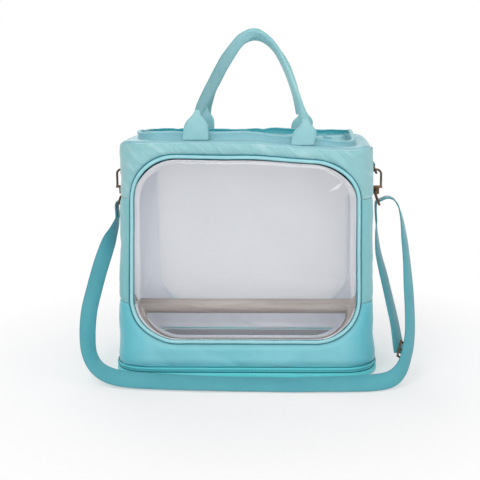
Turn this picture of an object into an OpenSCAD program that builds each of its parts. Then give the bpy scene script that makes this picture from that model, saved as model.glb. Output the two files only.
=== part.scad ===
// Soft travel carrier for a bird: fabric box with a clear front window, a zipped top
// lid inside a standing rim, two carry handles, a perch, a tray and a shoulder strap.
// X runs across the front, the front faces -Y, Z is up. The origin is on the ground,
// under the middle of the base. Millimetres.

/* [Body] */
// Width of the body across the front
body_w = 372; // [340:1:400]
// Depth of the body from front to back
body_d = 200; // [180:1:230]
// Height of the flat top above the ground
body_h = 352; // [346:1:400]
// Radius of the upright corners
body_corner_r = 45; // [30:1:55]
// Radius of the rounded top edge on the left and right
top_edge_r = 18; // [12:1:24]
// Thickness of the padded fabric walls
wall_t = 3; // [2:0.5:4]

/* [Base] */
// How far the base stands out past the body all round
base_flare = 6; // [2:1:8]
// Height of the bottom tub
tub_h = 9.5; // [8:0.5:12]
// Height of the zip band above the tub
zip_band_h = 9; // [8:0.5:12]
// How far the zip band is set in from the tub
zip_band_inset = 2; // [1:0.5:3]
// Thickness of the tub's floor
tub_floor_t = 3; // [2:0.5:4]
// Thickness of the stiff board in the bottom
board_t = 3; // [2:0.5:4]

/* [Front window] */
// Width of the window to its seam
window_w = 333; // [300:1:338]
// Height of the window to its seam
window_h = 280; // [240:1:282]
// Height of the window's lower seam above the ground
window_low = 53; // [48:1:58]
// Corner radius of the window's seam
window_r = 66; // [50:1:80]
// Width of the piping round the window
piping_w = 6; // [4:0.5:8]
// How far the piping stands out of the wall
piping_proud = 1.5; // [1:0.5:2.5]
// Thickness of the clear window sheet
window_t = 0.8; // [0.5:0.1:1.2]
// Height of the lower seam in the side strips
strip_low = 112; // [100:1:130]
// Height of the upper seam in the side strips
strip_high = 268; // [250:1:280]

/* [Back and side vents] */
// Width of the mesh in the back
back_vent_w = 318; // [280:1:324]
// Height of the mesh in the back
back_vent_h = 268; // [230:1:272]
// Height of the back mesh above the ground
back_vent_low = 62; // [56:1:70]
// Corner radius of the back mesh
back_vent_r = 60; // [40:1:70]
// Width of cloth left on each side of a side mesh
side_vent_margin = 9; // [6:1:20]
// Height of each side mesh
side_vent_h = 160; // [120:1:164]
// Height of the side mesh above the ground
side_vent_low = 122; // [118:1:126]
// Corner radius of the side mesh
side_vent_r = 26; // [15:1:34]
// Thickness of the mesh
mesh_t = 1; // [0.8:0.1:1.5]

/* [Top] */
// Width of the zipped opening
opening_w = 300; // [280:1:304]
// Depth of the deck in front of the zipped opening and behind it
deck_margin = 24; // [20:1:36]
// Corner radius of the opening
opening_r = 26; // [20:1:34]
// Height of the rim that stands round the opening
rim_h = 12; // [8:1:18]
// Thickness of the rim
rim_t = 4; // [3:0.5:6]
// Width of deck between the opening and the rim
rim_set = 5; // [4.5:0.5:6]
// Gap round the lid
lid_gap = 0.4; // [0.3:0.1:0.6]
// Width of one side of the zip's teeth
teeth_w = 3; // [2:0.5:4]
// Height of the zip's teeth
teeth_h = 1.5; // [1:0.1:2]

/* [Zip sliders] */
// Length of a zip slider
slider_l = 12; // [9:0.5:15]
// Width of the top slider
slider_w = 8; // [6:0.5:10]
// Thickness of the top slider
slider_t = 3; // [2:0.5:4]
// Length of a zip pull
pull_l = 22; // [14:1:26]
// Width of a zip pull
pull_w = 6; // [4:0.5:7]
// Thickness of a zip pull
pull_t = 1.4; // [1:0.1:1.6]
// Length of the pull on the base zip
base_pull_l = 9; // [7:0.5:9]

/* [Handles] */
// Half of the distance between a handle's two feet
handle_half_span = 76; // [60:1:90]
// Height of the top of the handles above the ground
handle_top = 509; // [480:1:540]
// Width of the handle strap
handle_w = 14; // [10:1:26]
// Thickness of the handle strap
handle_t = 8; // [4:0.5:10]
// Radius of the middle of the bend at the top
handle_bend_r = 21; // [18:1:30]
// How far the bend is padded out past the legs on each side
bend_pad = 0.6; // [0.4:0.1:2]
// Height of the sewn foot of a handle
foot_h = 40; // [30:1:46]
// Width of the sewn foot at its bottom
foot_w = 38; // [30:1:46]
// Thickness of the sewn foot
foot_t = 10; // [7:0.5:12]

/* [Perch and tray] */
// Diameter of the wooden perch
perch_d = 23; // [16:1:28]
// Height of the middle of the perch
perch_z = 84; // [72:1:96]
// Diameter of the perch screws
screw_d = 6; // [5:0.5:8]
// How far each screw goes into the perch
screw_depth = 30; // [20:1:40]
// Diameter of the knob on the right screw
knob_d = 23; // [18:1:26]
// Thickness of the knob
knob_t = 7; // [5:0.5:9]
// Diameter of the head of the left screw
screw_head_d = 11; // [9:0.5:13]
// Height of the head of the left screw
screw_head_h = 3; // [2:0.5:4]
// Diameter of the washers inside the walls
washer_d = 19; // [14:1:24]
// Thickness of a washer
washer_t = 1.5; // [1:0.5:2]
// Space between the tray and the walls
tray_gap = 11; // [6:1:20]
// Height of the tray
tray_h = 13; // [8:1:20]
// Thickness of the tray
tray_t = 2; // [1.5:0.5:3]
// Corner radius of the tray
tray_r = 36; // [30:1:50]

/* [Side hardware] */
// Thickness of the wire of rings and hooks
wire_d = 3.4; // [3:0.1:3.8]
// Radius of the D-rings to the middle of the wire
ring_r = 15; // [13:0.5:17]
// Height of the D-ring's straight bar
ring_z = 309; // [304:1:314]
// Outward tilt of the hanging D-rings
ring_tilt = 25; // [22:1:28]
// Width of the webbing tab that holds a D-ring
tab_w = 24; // [20:1:25]
// Height of the sewn part of the tab
tab_h = 24; // [18:1:26]
// Thickness of the tab's webbing
tab_t = 1.8; // [1.5:0.1:2]
// Radius of the hook's eye to the middle of the wire
eye_r = 7.5; // [7:0.1:8]
// Length of the straight arms of the hook's eye
eye_arm = 18; // [15:1:20]
// Diameter of the hook's swivel barrel
barrel_d = 10; // [9:0.5:12]
// Height of the hook's swivel barrel
barrel_h = 12; // [11:0.5:14]
// Diameter of the swivel post
post_d = 4; // [3.6:0.1:4.4]
// Inner width of the strap rings
strap_ring_w = 28; // [27:0.5:32]
// Inner height of the strap rings
strap_ring_h = 9; // [8:0.5:12]
// Outward tilt of the strap rings
strap_ring_tilt = 20; // [16:1:24]
// Radial clearance of a turning fit
turn_gap = 0.05; // [0.02:0.01:0.1]

/* [Shoulder strap] */
// Width of the strap's webbing
strap_w = 24; // [20:1:25]
// Thickness of the strap's webbing
strap_t = 2; // [1.6:0.1:2.4]
// Wire of the sliding buckle
glide_wire = 3; // [2.5:0.1:3.5]
// Depth of the sliding buckle along the strap
glide_l = 24; // [20:1:28]

/* [Hidden] */

$fn = 64;
eps = 0.01;
seat = 0.3;
big = 1000;

teal = [0.47, 0.76, 0.80];
teal_light = [0.60, 0.80, 0.83];
teal_dark = [0.26, 0.60, 0.66];
brass = [0.42, 0.36, 0.28];
lining = [0.86, 0.87, 0.90];

wall_low = tub_h + zip_band_h;
base_w = body_w + 2 * base_flare;
base_d = body_d + 2 * base_flare;
base_r = body_corner_r + base_flare;
edge_z = body_h - top_edge_r;
front_zone = body_d / 2 - body_corner_r;
deck_half_d = body_d / 2 - wall_t;
side_x = body_w / 2;
side_vent_w = 2 * (front_zone - side_vent_margin);
opening_d = body_d - 2 * deck_margin;
tray_w = body_w - 2 * (wall_t + tray_gap);
tray_d = body_d - 2 * (wall_t + tray_gap);
teeth_top = body_h + teeth_h;

// ---- shared outlines -------------------------------------------------------

module rounded(w, d, r) {
  square([w - 2 * r, d], center = true);
  square([w, d - 2 * r], center = true);
  for (x = [-1, 1], y = [-1, 1])
    translate([x * (w / 2 - r), y * (d / 2 - r)]) circle(r);
}

module plate(w, d, r, z0, z1) {
  translate([0, 0, z0]) linear_extrude(z1 - z0) rounded(w, d, r);
}

module on_left() { mirror([1, 0, 0]) children(); }

// An outline in X and Z, pushed through the whole depth
module through_y() {
  rotate([90, 0, 0]) translate([0, 0, -body_d]) linear_extrude(2 * body_d) children();
}

// An outline in Y and Z, pushed through the whole width
module through_x() {
  rotate([90, 0, 90]) translate([0, 0, -body_w]) linear_extrude(2 * body_w) children();
}

module span(x0, x1, y0, y1, z0, z1) {
  translate([x0, y0, z0]) cube([x1 - x0, y1 - y0, z1 - z0]);
}

// The body's form, moved inwards by inset and rounded along its two top side edges
module body_form(inset, z0) {
  w = body_w - 2 * inset;
  top = body_h - inset;
  r = top_edge_r - inset;
  intersection() {
    plate(w, body_d - 2 * inset, body_corner_r - inset, z0, top);
    through_y() {
      translate([-w / 2, z0 - 1]) square([w, top - r - z0 + 1]);
      translate([-w / 2 + r, z0 - 1]) square([w - 2 * r, top - z0 + 1]);
      for (x = [-1, 1]) translate([x * (w / 2 - r), top - r]) circle(r);
    }
  }
}

module body_skin(outer, inner) {
  difference() {
    body_form(outer, wall_low);
    body_form(inner, wall_low - 1);
  }
}

module body_wall() { body_skin(0, wall_t); }

module window_outline(inset) {
  translate([0, window_low + window_h / 2])
    rounded(window_w - 2 * inset, window_h - 2 * inset, window_r - inset);
}

module back_vent_outline() {
  translate([0, back_vent_low + back_vent_h / 2])
    rounded(back_vent_w, back_vent_h, back_vent_r);
}

module side_vent_outline() {
  translate([0, side_vent_low + side_vent_h / 2])
    rounded(side_vent_w, side_vent_h, side_vent_r);
}

// ---- front -----------------------------------------------------------------

module front_frame(z0, z1, x0, x1) {
  difference() {
    intersection() {
      body_wall();
      union() {
        span(x0, x1, -body_d, -front_zone, z0, min(z1, edge_z));
        if (z1 > edge_z) span(x0, x1, -body_d, -deck_half_d, edge_z - 1, z1);
      }
    }
    through_y() window_outline(0);
  }
}

module front_upper_yoke() { color(teal_light) front_frame(strip_high, body_h + 1, -big, big); }
module front_lower_yoke() { color(teal) front_frame(wall_low - 1, strip_low, -big, big); }
module front_strip_left() { color(teal) front_frame(strip_low, strip_high, -big, 0); }
module front_strip_right() { color(teal) front_frame(strip_low, strip_high, 0, big); }

module window_piping() {
  color(teal_light) intersection() {
    difference() {
      body_form(-piping_proud, wall_low);
      body_form(wall_t, wall_low - 1);
    }
    through_y() difference() {
      window_outline(0);
      window_outline(piping_w);
    }
    span(-big, big, -body_d, -front_zone, 0, edge_z);
  }
}

module front_window() {
  color([0.90, 0.94, 0.97, 0.3]) intersection() {
    body_skin(wall_t / 2 - window_t / 2, wall_t / 2 + window_t / 2);
    through_y() window_outline(piping_w);
    span(-big, big, -body_d, -front_zone, 0, edge_z);
  }
}

// ---- sides and back ----------------------------------------------------------

module side_panel() {
  color(teal) difference() {
    intersection() {
      body_wall();
      span(0, big, -front_zone, front_zone, wall_low - 1, edge_z);
    }
    through_x() side_vent_outline();
    translate([side_x, 0, perch_z]) rotate([0, 90, 0])
      cylinder(d = screw_d + 2 * seat, h = 4 * wall_t, center = true);
  }
}

module side_mesh() {
  color(lining) intersection() {
    body_skin(wall_t / 2 - mesh_t / 2, wall_t / 2 + mesh_t / 2);
    span(0, big, -front_zone, front_zone, wall_low, edge_z);
    through_x() side_vent_outline();
  }
}

module side_panel_left() { on_left() side_panel(); }
module side_panel_right() { side_panel(); }
module side_mesh_left() { on_left() side_mesh(); }
module side_mesh_right() { side_mesh(); }

module back_panel() {
  color(teal) difference() {
    intersection() {
      body_wall();
      union() {
        span(-big, big, front_zone, body_d, wall_low - 1, edge_z);
        span(-big, big, deck_half_d, body_d, edge_z - 1, body_h + 1);
      }
    }
    through_y() back_vent_outline();
  }
}

module back_mesh() {
  color(lining) intersection() {
    body_skin(wall_t / 2 - mesh_t / 2, wall_t / 2 + mesh_t / 2);
    span(-big, big, front_zone, body_d, wall_low, edge_z);
    through_y() back_vent_outline();
  }
}

// ---- top -------------------------------------------------------------------

module top_deck() {
  color(teal_dark) difference() {
    intersection() {
      body_wall();
      span(-big, big, -deck_half_d, deck_half_d, edge_z, body_h + 1);
    }
    plate(opening_w, opening_d, opening_r, edge_z, body_h + 1);
  }
}

rim_in_w = opening_w + 2 * rim_set;
rim_in_d = opening_d + 2 * rim_set;
rim_in_r = opening_r + rim_set;

module top_rim() {
  color(teal_light) difference() {
    plate(rim_in_w + 2 * rim_t, rim_in_d + 2 * rim_t, rim_in_r + rim_t, body_h, body_h + rim_h);
    plate(rim_in_w, rim_in_d, rim_in_r, body_h - 1, body_h + rim_h + 1);
  }
}

lid_w = opening_w - 2 * lid_gap;
lid_d = opening_d - 2 * lid_gap;
lid_r = opening_r - lid_gap;
lid_hinge_y = lid_d / 2;
zip_end_y = lid_hinge_y - opening_r;

module top_lid() {
  color(teal_dark) plate(lid_w, lid_d, lid_r, body_h - wall_t, body_h);
}

// The zip runs along the left, front and right of the opening, as far as zip_end_y
module zip_run(w, d, r) {
  intersection() {
    difference() {
      plate(w, d, r, body_h, teeth_top);
      plate(w - 2 * teeth_w, d - 2 * teeth_w, r - teeth_w, body_h - 1, teeth_top + 1);
    }
    span(-big, big, -body_d, zip_end_y, 0, big);
  }
}

module zip_teeth_deck() {
  color(teal_dark) zip_run(opening_w + 2 * teeth_w, opening_d + 2 * teeth_w, opening_r + teeth_w);
}

module zip_teeth_lid() { color(teal_dark) zip_run(lid_w, lid_d, lid_r); }

// From a pull's pin to the face of its slider, beyond half of the pull's thickness
lug_gap = 1.1;
slider_x = opening_w / 2 - opening_r - slider_l / 2;
slider_y = -opening_d / 2;
slider_z = teeth_top + seat;
pull_pivot_x = slider_x - slider_l / 4;
pull_pivot_z = slider_z + slider_t + pull_t / 2 + lug_gap;

// A slider body with the bridge that its pull hangs on
module top_zip_slider() {
  color(brass) {
    translate([slider_x - slider_l / 2, slider_y - slider_w / 2, slider_z]) difference() {
      cube([slider_l, slider_w, slider_t]);
      for (y = [0, slider_w])
        translate([0, y, -1]) rotate([0, 0, 45]) cube([2, 2, 4 * slider_t], center = true);
    }
    translate([pull_pivot_x, slider_y, slider_z + slider_t]) for (y = [-1, 1])
      translate([-1.5, y * (slider_w / 2 - 0.6) - 0.6, -eps]) cube([3, 1.2, 2 * pull_t + 1]);
    translate([pull_pivot_x, slider_y, pull_pivot_z]) rotate([90, 0, 0])
      cylinder(r = pull_t / 2, h = slider_w - 1.2, center = true);
  }
}

module pull_plate(l, w, hole_r) {
  difference() {
    union() {
      translate([-l + w / 2, -w / 2, -pull_t / 2]) cube([l - w / 2, w, pull_t]);
      translate([-l + w / 2, 0, -pull_t / 2]) cylinder(d = w, h = pull_t);
      rotate([90, 0, 0]) cylinder(r = hole_r + 0.8, h = w, center = true);
    }
    rotate([90, 0, 0]) cylinder(r = hole_r, h = 2 * w, center = true);
    translate([-l + w / 2, 0, 0]) cylinder(d = w / 2, h = 4 * pull_t, center = true);
  }
}

module top_zip_pull() {
  color(brass) translate([pull_pivot_x, slider_y, pull_pivot_z])
    pull_plate(pull_l, min(pull_w, slider_w - 3), pull_t / 2 + turn_gap);
}

// ---- base ------------------------------------------------------------------

module base_zip_band() {
  w = base_w - 2 * zip_band_inset;
  d = base_d - 2 * zip_band_inset;
  r = base_r - zip_band_inset;
  color(teal) difference() {
    plate(w, d, r, tub_h, wall_low);
    plate(body_w - 2 * wall_t, body_d - 2 * wall_t, body_corner_r - wall_t, tub_h - 1, wall_low + 1);
  }
}

module base_tub() {
  color(teal_dark) difference() {
    plate(base_w, base_d, base_r, 0, tub_h);
    plate(body_w - 2 * wall_t, body_d - 2 * wall_t, body_corner_r - wall_t, tub_floor_t, tub_h + 1);
  }
}

board_inset = wall_t + seat;

module base_board() {
  color([0.35, 0.36, 0.38])
    plate(body_w - 2 * board_inset, body_d - 2 * board_inset, body_corner_r - board_inset,
      tub_floor_t, tub_floor_t + board_t);
}

tray_z = tub_floor_t + board_t + seat;

module waste_tray() {
  color([0.52, 0.53, 0.55]) difference() {
    plate(tray_w, tray_d, tray_r, tray_z, tray_z + tray_h);
    plate(tray_w - 2 * tray_t, tray_d - 2 * tray_t, tray_r - tray_t,
      tray_z + tray_t, tray_z + tray_h + 1);
  }
}

base_slider_h = zip_band_h - 1;
base_slider_t = 3;
base_slider_y = base_d / 2 - zip_band_inset + seat;
base_pivot_z = tub_h + zip_band_h / 2 - 1;
base_pivot_y = base_slider_y + base_slider_t + pull_t / 2 + lug_gap;

module base_zip_slider() {
  z_mid = tub_h + zip_band_h / 2;
  color(brass) {
    translate([-slider_l / 2, base_slider_y, z_mid - base_slider_h / 2])
      cube([slider_l, base_slider_t, base_slider_h]);
    for (x = [-1, 1]) translate([x * (pull_w / 2 + seat + 0.6) - 0.6, 0, base_pivot_z - 1.4])
      translate([0, base_slider_y + base_slider_t - eps, 0]) cube([1.2, pull_t + 1.4, 2.8]);
    translate([0, base_pivot_y, base_pivot_z]) rotate([0, 90, 0])
      cylinder(r = pull_t / 2, h = pull_w + 2 * seat + 1, center = true);
  }
}

module base_zip_pull() {
  color(brass) translate([0, base_pivot_y, base_pivot_z]) rotate([0, -90, -90])
    pull_plate(base_pull_l, pull_w, pull_t / 2 + turn_gap);
}

// ---- perch -----------------------------------------------------------------

perch_half = side_x - wall_t - washer_t - seat;

module perch_dowel() {
  color([0.72, 0.62, 0.50]) translate([0, 0, perch_z]) rotate([0, 90, 0]) difference() {
    cylinder(d = perch_d, h = 2 * perch_half, center = true);
    for (s = [-1, 1]) translate([0, 0, s * (perch_half - screw_depth / 2 + 0.5)])
      cylinder(d = screw_d + 2 * turn_gap, h = screw_depth + 1, center = true);
  }
}

module perch_washers() {
  color([0.75, 0.75, 0.77]) for (s = [-1, 1])
    translate([s * (side_x - wall_t - washer_t / 2 - seat / 2), 0, perch_z]) rotate([0, 90, 0])
      difference() {
        cylinder(d = washer_d, h = washer_t, center = true);
        cylinder(d = screw_d + 2 * seat, h = 2 * washer_t, center = true);
      }
}

// The screw's shank, from its head at the wall to its end in the perch
module perch_shank(s) {
  x0 = perch_half - screw_depth + 2;
  translate([s > 0 ? x0 : -side_x - seat, 0, perch_z]) rotate([0, 90, 0])
    cylinder(d = screw_d, h = side_x + seat - x0);
}

module perch_screw_left() {
  color([0.70, 0.70, 0.72]) {
    perch_shank(-1);
    translate([-side_x - seat - screw_head_h, 0, perch_z]) rotate([0, 90, 0])
      cylinder(d1 = screw_head_d * 0.7, d2 = screw_head_d, h = screw_head_h);
  }
}

module perch_knob_right() {
  color([0.10, 0.10, 0.11]) {
    perch_shank(1);
    translate([side_x + seat, 0, perch_z]) rotate([0, 90, 0]) difference() {
      cylinder(d = knob_d, h = knob_t);
      for (a = [0 : 45 : 315]) rotate([0, 0, a])
        translate([knob_d / 2 + 1.4, 0, 1.5]) cylinder(d = 5, h = knob_t);
    }
  }
}

// ---- handles ---------------------------------------------------------------

foot_z = body_h + seat;
neck_z = foot_z + foot_h;
bend_z = handle_top - handle_bend_r - handle_w / 2 - bend_pad;
leg_drop = bend_z - neck_z;
leg_reach = sqrt(handle_half_span * handle_half_span + leg_drop * leg_drop);
// Angle at which the straight leg leaves the bend
leave_a = -atan2(leg_drop, handle_half_span) + acos(handle_bend_r / leg_reach);
leg_l = sqrt(leg_reach * leg_reach - handle_bend_r * handle_bend_r);

// The strap's bend at the top, with a straight leg on each side, as deep as the strap is thick
module handle_arch() {
  inner_r = handle_bend_r - handle_w / 2;
  intersection() {
    translate([0, bend_z]) {
      rotate(leave_a) rotate_extrude(angle = 180 - 2 * leave_a)
        translate([inner_r - bend_pad, 0]) square([handle_w + 2 * bend_pad, handle_t]);
      for (m = [0, 1]) mirror([m, 0, 0]) rotate(leave_a) translate([inner_r, -leg_l - handle_w])
        cube([handle_w, leg_l + handle_w + 2, handle_t]);
    }
    translate([-big / 2, neck_z, -1]) cube([big, big, handle_t + 2]);
  }
}

// The sewn foot narrows from its wide bottom to the strap, like a bell
module foot_outline() {
  a = foot_w / 2;
  b = handle_w / 2 + 1;
  polygon([[-a, 0], [a, 0], [a - 0.5, foot_h * 0.22], [a - 2.5, foot_h * 0.40],
    [b + 1.5, foot_h * 0.62], [b, foot_h * 0.80], [b, foot_h],
    [-b, foot_h], [-b, foot_h * 0.80], [-b - 1.5, foot_h * 0.62],
    [-a + 2.5, foot_h * 0.40], [-a + 0.5, foot_h * 0.22]]);
}

handle_out_y = body_d / 2 + seat;
handle_mid_y = handle_out_y - foot_t / 2;

module handle(s) {
  color(teal_light) translate([0, s * handle_mid_y + handle_t / 2, 0]) rotate([90, 0, 0])
    handle_arch();
}

module handle_feet(s) {
  color(teal_light) for (x = [-1, 1])
    translate([x * (handle_half_span + 1), s * handle_mid_y + foot_t / 2, foot_z])
      rotate([90, 0, 0]) linear_extrude(foot_t) foot_outline();
}

module handle_front() { handle(-1); }
module handle_front_feet() { handle_feet(-1); }
module handle_back() { handle(1); }
module handle_back_feet() { handle_feet(1); }

// ---- side hardware, drawn for the right side ---------------------------------

wire_r = wire_d / 2;
sleeve_r = wire_r + turn_gap + tab_t;
bar_x = side_x + sleeve_r;
hook_x = bar_x + ring_r * sin(ring_tilt);
ring_bottom_z = ring_z - ring_r * cos(ring_tilt);
eye_top_z = ring_bottom_z + 2 * wire_r + 2.2;
eye_mid_z = eye_top_z - eye_r;
yoke_z = eye_mid_z - eye_arm;
barrel_z = yoke_z - barrel_h;
pin_z = yoke_z + 2.6;
pin_r = 0.8;
gate_r = 1.4;
lug_r = 1.7;
lug_l = 3.2;

module ring_tab() {
  color(teal) difference() {
    union() {
      span(side_x, side_x + tab_t, -tab_w / 2, tab_w / 2, ring_z, ring_z + tab_h);
      translate([bar_x, 0, ring_z]) rotate([90, 0, 0])
        cylinder(r = sleeve_r, h = tab_w, center = true);
    }
    translate([bar_x, 0, ring_z]) rotate([90, 0, 0])
      cylinder(r = wire_r + turn_gap, h = 2 * tab_w, center = true);
  }
}

module d_ring() {
  color(brass) translate([bar_x, 0, ring_z]) rotate([0, -ring_tilt, 0]) {
    rotate([90, 0, 0]) cylinder(r = wire_r, h = 2 * ring_r, center = true);
    rotate([0, -90, 0]) rotate([0, 0, 90]) rotate_extrude(angle = 180)
      translate([ring_r, 0]) circle(wire_r);
    for (y = [-1, 1]) translate([0, y * ring_r, 0]) sphere(wire_r);
  }
}

module hook() {
  color(brass) {
    translate([hook_x, 0, eye_mid_z]) rotate([90, 0, 0]) rotate_extrude(angle = 180)
      translate([eye_r, 0]) circle(wire_r);
    translate([hook_x + eye_r, 0, yoke_z]) cylinder(r = wire_r, h = eye_arm);
    difference() {
      span(hook_x - eye_r - wire_r, hook_x + eye_r + wire_r, -3.2, 3.2, yoke_z - 3, yoke_z + 0.6);
      translate([hook_x, 0, yoke_z - 4]) cylinder(d = barrel_d - 1, h = 2);
    }
    difference() {
      span(hook_x - eye_r - wire_r, hook_x - eye_r + wire_r, -3.2, 3.2, yoke_z, pin_z + 2);
      span(hook_x - eye_r - 3, hook_x - eye_r + 3, -lug_l / 2 - turn_gap, lug_l / 2 + turn_gap,
        yoke_z + 0.6, pin_z + 3);
      translate([hook_x - eye_r, 0, pin_z]) rotate([90, 0, 0])
        cylinder(r = pin_r, h = 20, center = true);
    }
    difference() {
      translate([hook_x, 0, barrel_z]) cylinder(d = barrel_d, h = barrel_h - 2);
      translate([hook_x, 0, barrel_z - 1]) cylinder(d = post_d + 2 * turn_gap, h = barrel_h);
      translate([hook_x, 0, barrel_z + 4]) cylinder(d = post_d + 2.4, h = barrel_h);
    }
  }
}

module gate_pin() {
  color([0.75, 0.75, 0.77]) translate([hook_x - eye_r, 0, pin_z]) rotate([90, 0, 0])
    cylinder(r = pin_r, h = 6.4, center = true);
}

module hook_gate() {
  color(brass) difference() {
    union() {
      translate([hook_x - eye_r, 0, pin_z]) cylinder(r = gate_r, h = eye_mid_z - pin_z - seat);
      translate([hook_x - eye_r, 0, pin_z]) rotate([90, 0, 0])
        cylinder(r = lug_r, h = lug_l, center = true);
    }
    translate([hook_x - eye_r, 0, pin_z]) rotate([90, 0, 0])
      cylinder(r = pin_r + turn_gap, h = 10, center = true);
  }
}

strap_ring_top = barrel_z - 3;

// A rectangular wire ring, hung by a headed post that turns in the hook's barrel
module strap_ring() {
  half = strap_ring_w / 2 + wire_r;
  drop = strap_ring_h + wire_d;
  color(brass) {
    translate([hook_x, 0, strap_ring_top]) cylinder(d = post_d, h = barrel_z + 4.2 - strap_ring_top);
    translate([hook_x, 0, barrel_z + 4.1]) cylinder(d = post_d + 2.2, h = 1.8);
    translate([hook_x, 0, strap_ring_top]) rotate([0, -strap_ring_tilt, 0]) {
      for (z = [0, -drop]) translate([0, 0, z]) rotate([90, 0, 0])
        cylinder(r = wire_r, h = 2 * half, center = true);
      for (y = [-1, 1]) {
        translate([0, y * half, -drop]) cylinder(r = wire_r, h = drop);
        for (z = [0, -drop]) translate([0, y * half, z]) sphere(wire_r);
      }
    }
  }
}

module ring_tab_left() { on_left() ring_tab(); }
module ring_tab_right() { ring_tab(); }
module d_ring_left() { on_left() d_ring(); }
module d_ring_right() { d_ring(); }
module hook_left() { on_left() hook(); }
module hook_right() { hook(); }
module hook_gate_left() { on_left() hook_gate(); }
module hook_gate_right() { hook_gate(); }
module gate_pin_left() { on_left() gate_pin(); }
module gate_pin_right() { gate_pin(); }
module strap_ring_left() { on_left() strap_ring(); }
module strap_ring_right() { strap_ring(); }

// ---- shoulder strap ----------------------------------------------------------

// Each stop is a point of the strap's middle line and the way that its width faces.
// The left end is folded round its ring and sewn to itself.
STRAP_LEFT = [
  [[-202, 0, 226], [0, 1, 0]],
  [[-197.5, 0, 240], [0, 1, 0]],
  [[-195.8, 0, 246], [0, 1, 0]],
  [[-196.2, 0, 250], [0, 1, 0]],
  [[-199.5, 0, 253], [0, 1, 0]],
  [[-203.6, 0, 251.5], [0, 1, 0]],
  [[-205.5, 0, 247], [0, 1, 0]],
  [[-205.5, 0, 240], [0, 1, 0]],
  [[-205.5, 0, 226], [0, 1, 0]],
  [[-210, -2, 210], [0.4, 1, 0]],
  [[-218, -8, 190], [0.8, 0.7, 0]],
  [[-228, -26, 156], [1, 0.3, 0]],
  [[-235, -48, 122], [1, 0.2, 0]],
  [[-239, -68, 94], [1, 0.3, 0]],
  [[-238, -88, 66], [1, 0.6, 0]],
  [[-232, -108, 42], [0.8, 1, 0.2]]
];
STRAP_GROUND = [
  [[-218, -124, 25], [0.3, 1, 0.6]],
  [[-196, -136, 16], [0, 0.7, 0.8]],
  [[-168, -143, 13], [0, 0.6, 0.9]],
  [[-130, -147, 12], [0, 0.6, 0.8]],
  [[-90, -149, 11], [0, 0.7, 0.7]],
  [[-50, -150, 10], [0, 0.8, 0.6]],
  [[-10, -150, 9], [0, 0.8, 0.6]],
  [[30, -151, 9], [0, 0.8, 0.6]],
  [[70, -152, 9], [0, 0.8, 0.6]],
  [[110, -152, 10], [0, 0.8, 0.7]],
  [[150, -152, 11], [0, 0.7, 0.8]],
  [[185, -150, 12], [-0.1, 0.5, 0.9]],
  [[210, -143, 15], [-0.4, 0.2, 0.9]],
  [[226, -130, 25], [-0.6, -0.2, 0.8]]
];
// The outer run rises to the right ring, and the inner run comes back to the buckle
STRAP_RIGHT = [
  [[236, -112, 44], [-0.6, -0.8, -0.2]],
  [[242, -92, 66], [-0.6, -0.8, 0]],
  [[244, -70, 94], [-0.6, -0.8, 0]],
  [[244, -46, 128], [-0.6, -0.8, 0]],
  [[243, -26, 162], [-0.5, -0.9, 0]],
  [[240, -12, 196], [-0.4, -0.9, 0]],
  [[236, -4, 226], [-0.2, -1, 0]],
  [[230, 0, 246], [0, -1, 0]],
  [[222, 0, 256], [0, -1, 0]],
  [[212, 0, 258], [0, -1, 0]],
  [[204, 0, 254.5], [0, -1, 0]],
  [[199.5, 0, 253], [0, -1, 0]],
  [[196.2, 0, 250], [0, -1, 0]],
  [[195.8, 0, 245], [0, -1, 0]],
  [[196, 0, 236], [0, -1, 0]],
  [[197, 0, 222], [0, -1, 0]],
  [[198, 0, 200], [-0.2, -1, 0]],
  [[201, -4, 172], [-0.4, -1, 0]],
  [[208, -16, 142], [-0.5, -0.9, 0]],
  [[216, -38, 106], [-0.5, -0.9, 0]],
  [[222, -64, 76], [-0.5, -0.9, 0]],
  [[225, -86, 54], [-0.5, -0.9, -0.1]],
  [[228, -103, 40], [-0.6, -0.8, -0.2]]
];
STRAP = concat(STRAP_LEFT, STRAP_GROUND, STRAP_RIGHT);

function unit(v) = v / norm(v);
strap_n = len(STRAP);
function stop(i) = STRAP[max(0, min(strap_n - 1, i))][0];
function along(i) = unit(stop(i + 1) - stop(i - 1));
function across(i) =
  let (t = along(i), w = STRAP[i][1]) unit(w - (w * t) * t);

// The strap's flat section: eight corners round its middle line
function strap_corner(i, k) =
  let (w = across(i), n = cross(along(i), w),
    a = strap_w / 2, b = strap_t / 2, e = strap_t / 4,
    c = [[a, e], [a - e, b], [-a + e, b], [-a, e], [-a, -e], [-a + e, -b], [a - e, -b], [a, -e]][k])
  stop(i) + c[0] * w + c[1] * n;

module shoulder_strap() {
  points = [for (i = [0 : strap_n - 1]) for (k = [0 : 7]) strap_corner(i, k)];
  sides = [for (i = [0 : strap_n - 2]) for (k = [0 : 7])
    let (a = 8 * i + k, b = 8 * i + (k + 1) % 8) each [[a, b, a + 8], [b, b + 8, a + 8]]];
  ends = [[for (k = [7 : -1 : 0]) k], [for (k = [0 : 7]) 8 * (strap_n - 1) + k]];
  color(teal) polyhedron(points, concat(sides, ends));
  echo(strap_length = sum_of([for (i = [1 : strap_n - 1]) norm(stop(i) - stop(i - 1))]));
}

function sum_of(v, i = 0) = i < len(v) ? v[i] + sum_of(v, i + 1) : 0;

// The buckle that sets the strap's length lies against the strap at this stop
buckle_stop = len(STRAP_LEFT) + len(STRAP_GROUND);

// The strap bends behind the buckle, so the buckle's middle stands off it a little
glide_gap = 1.5;

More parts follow.
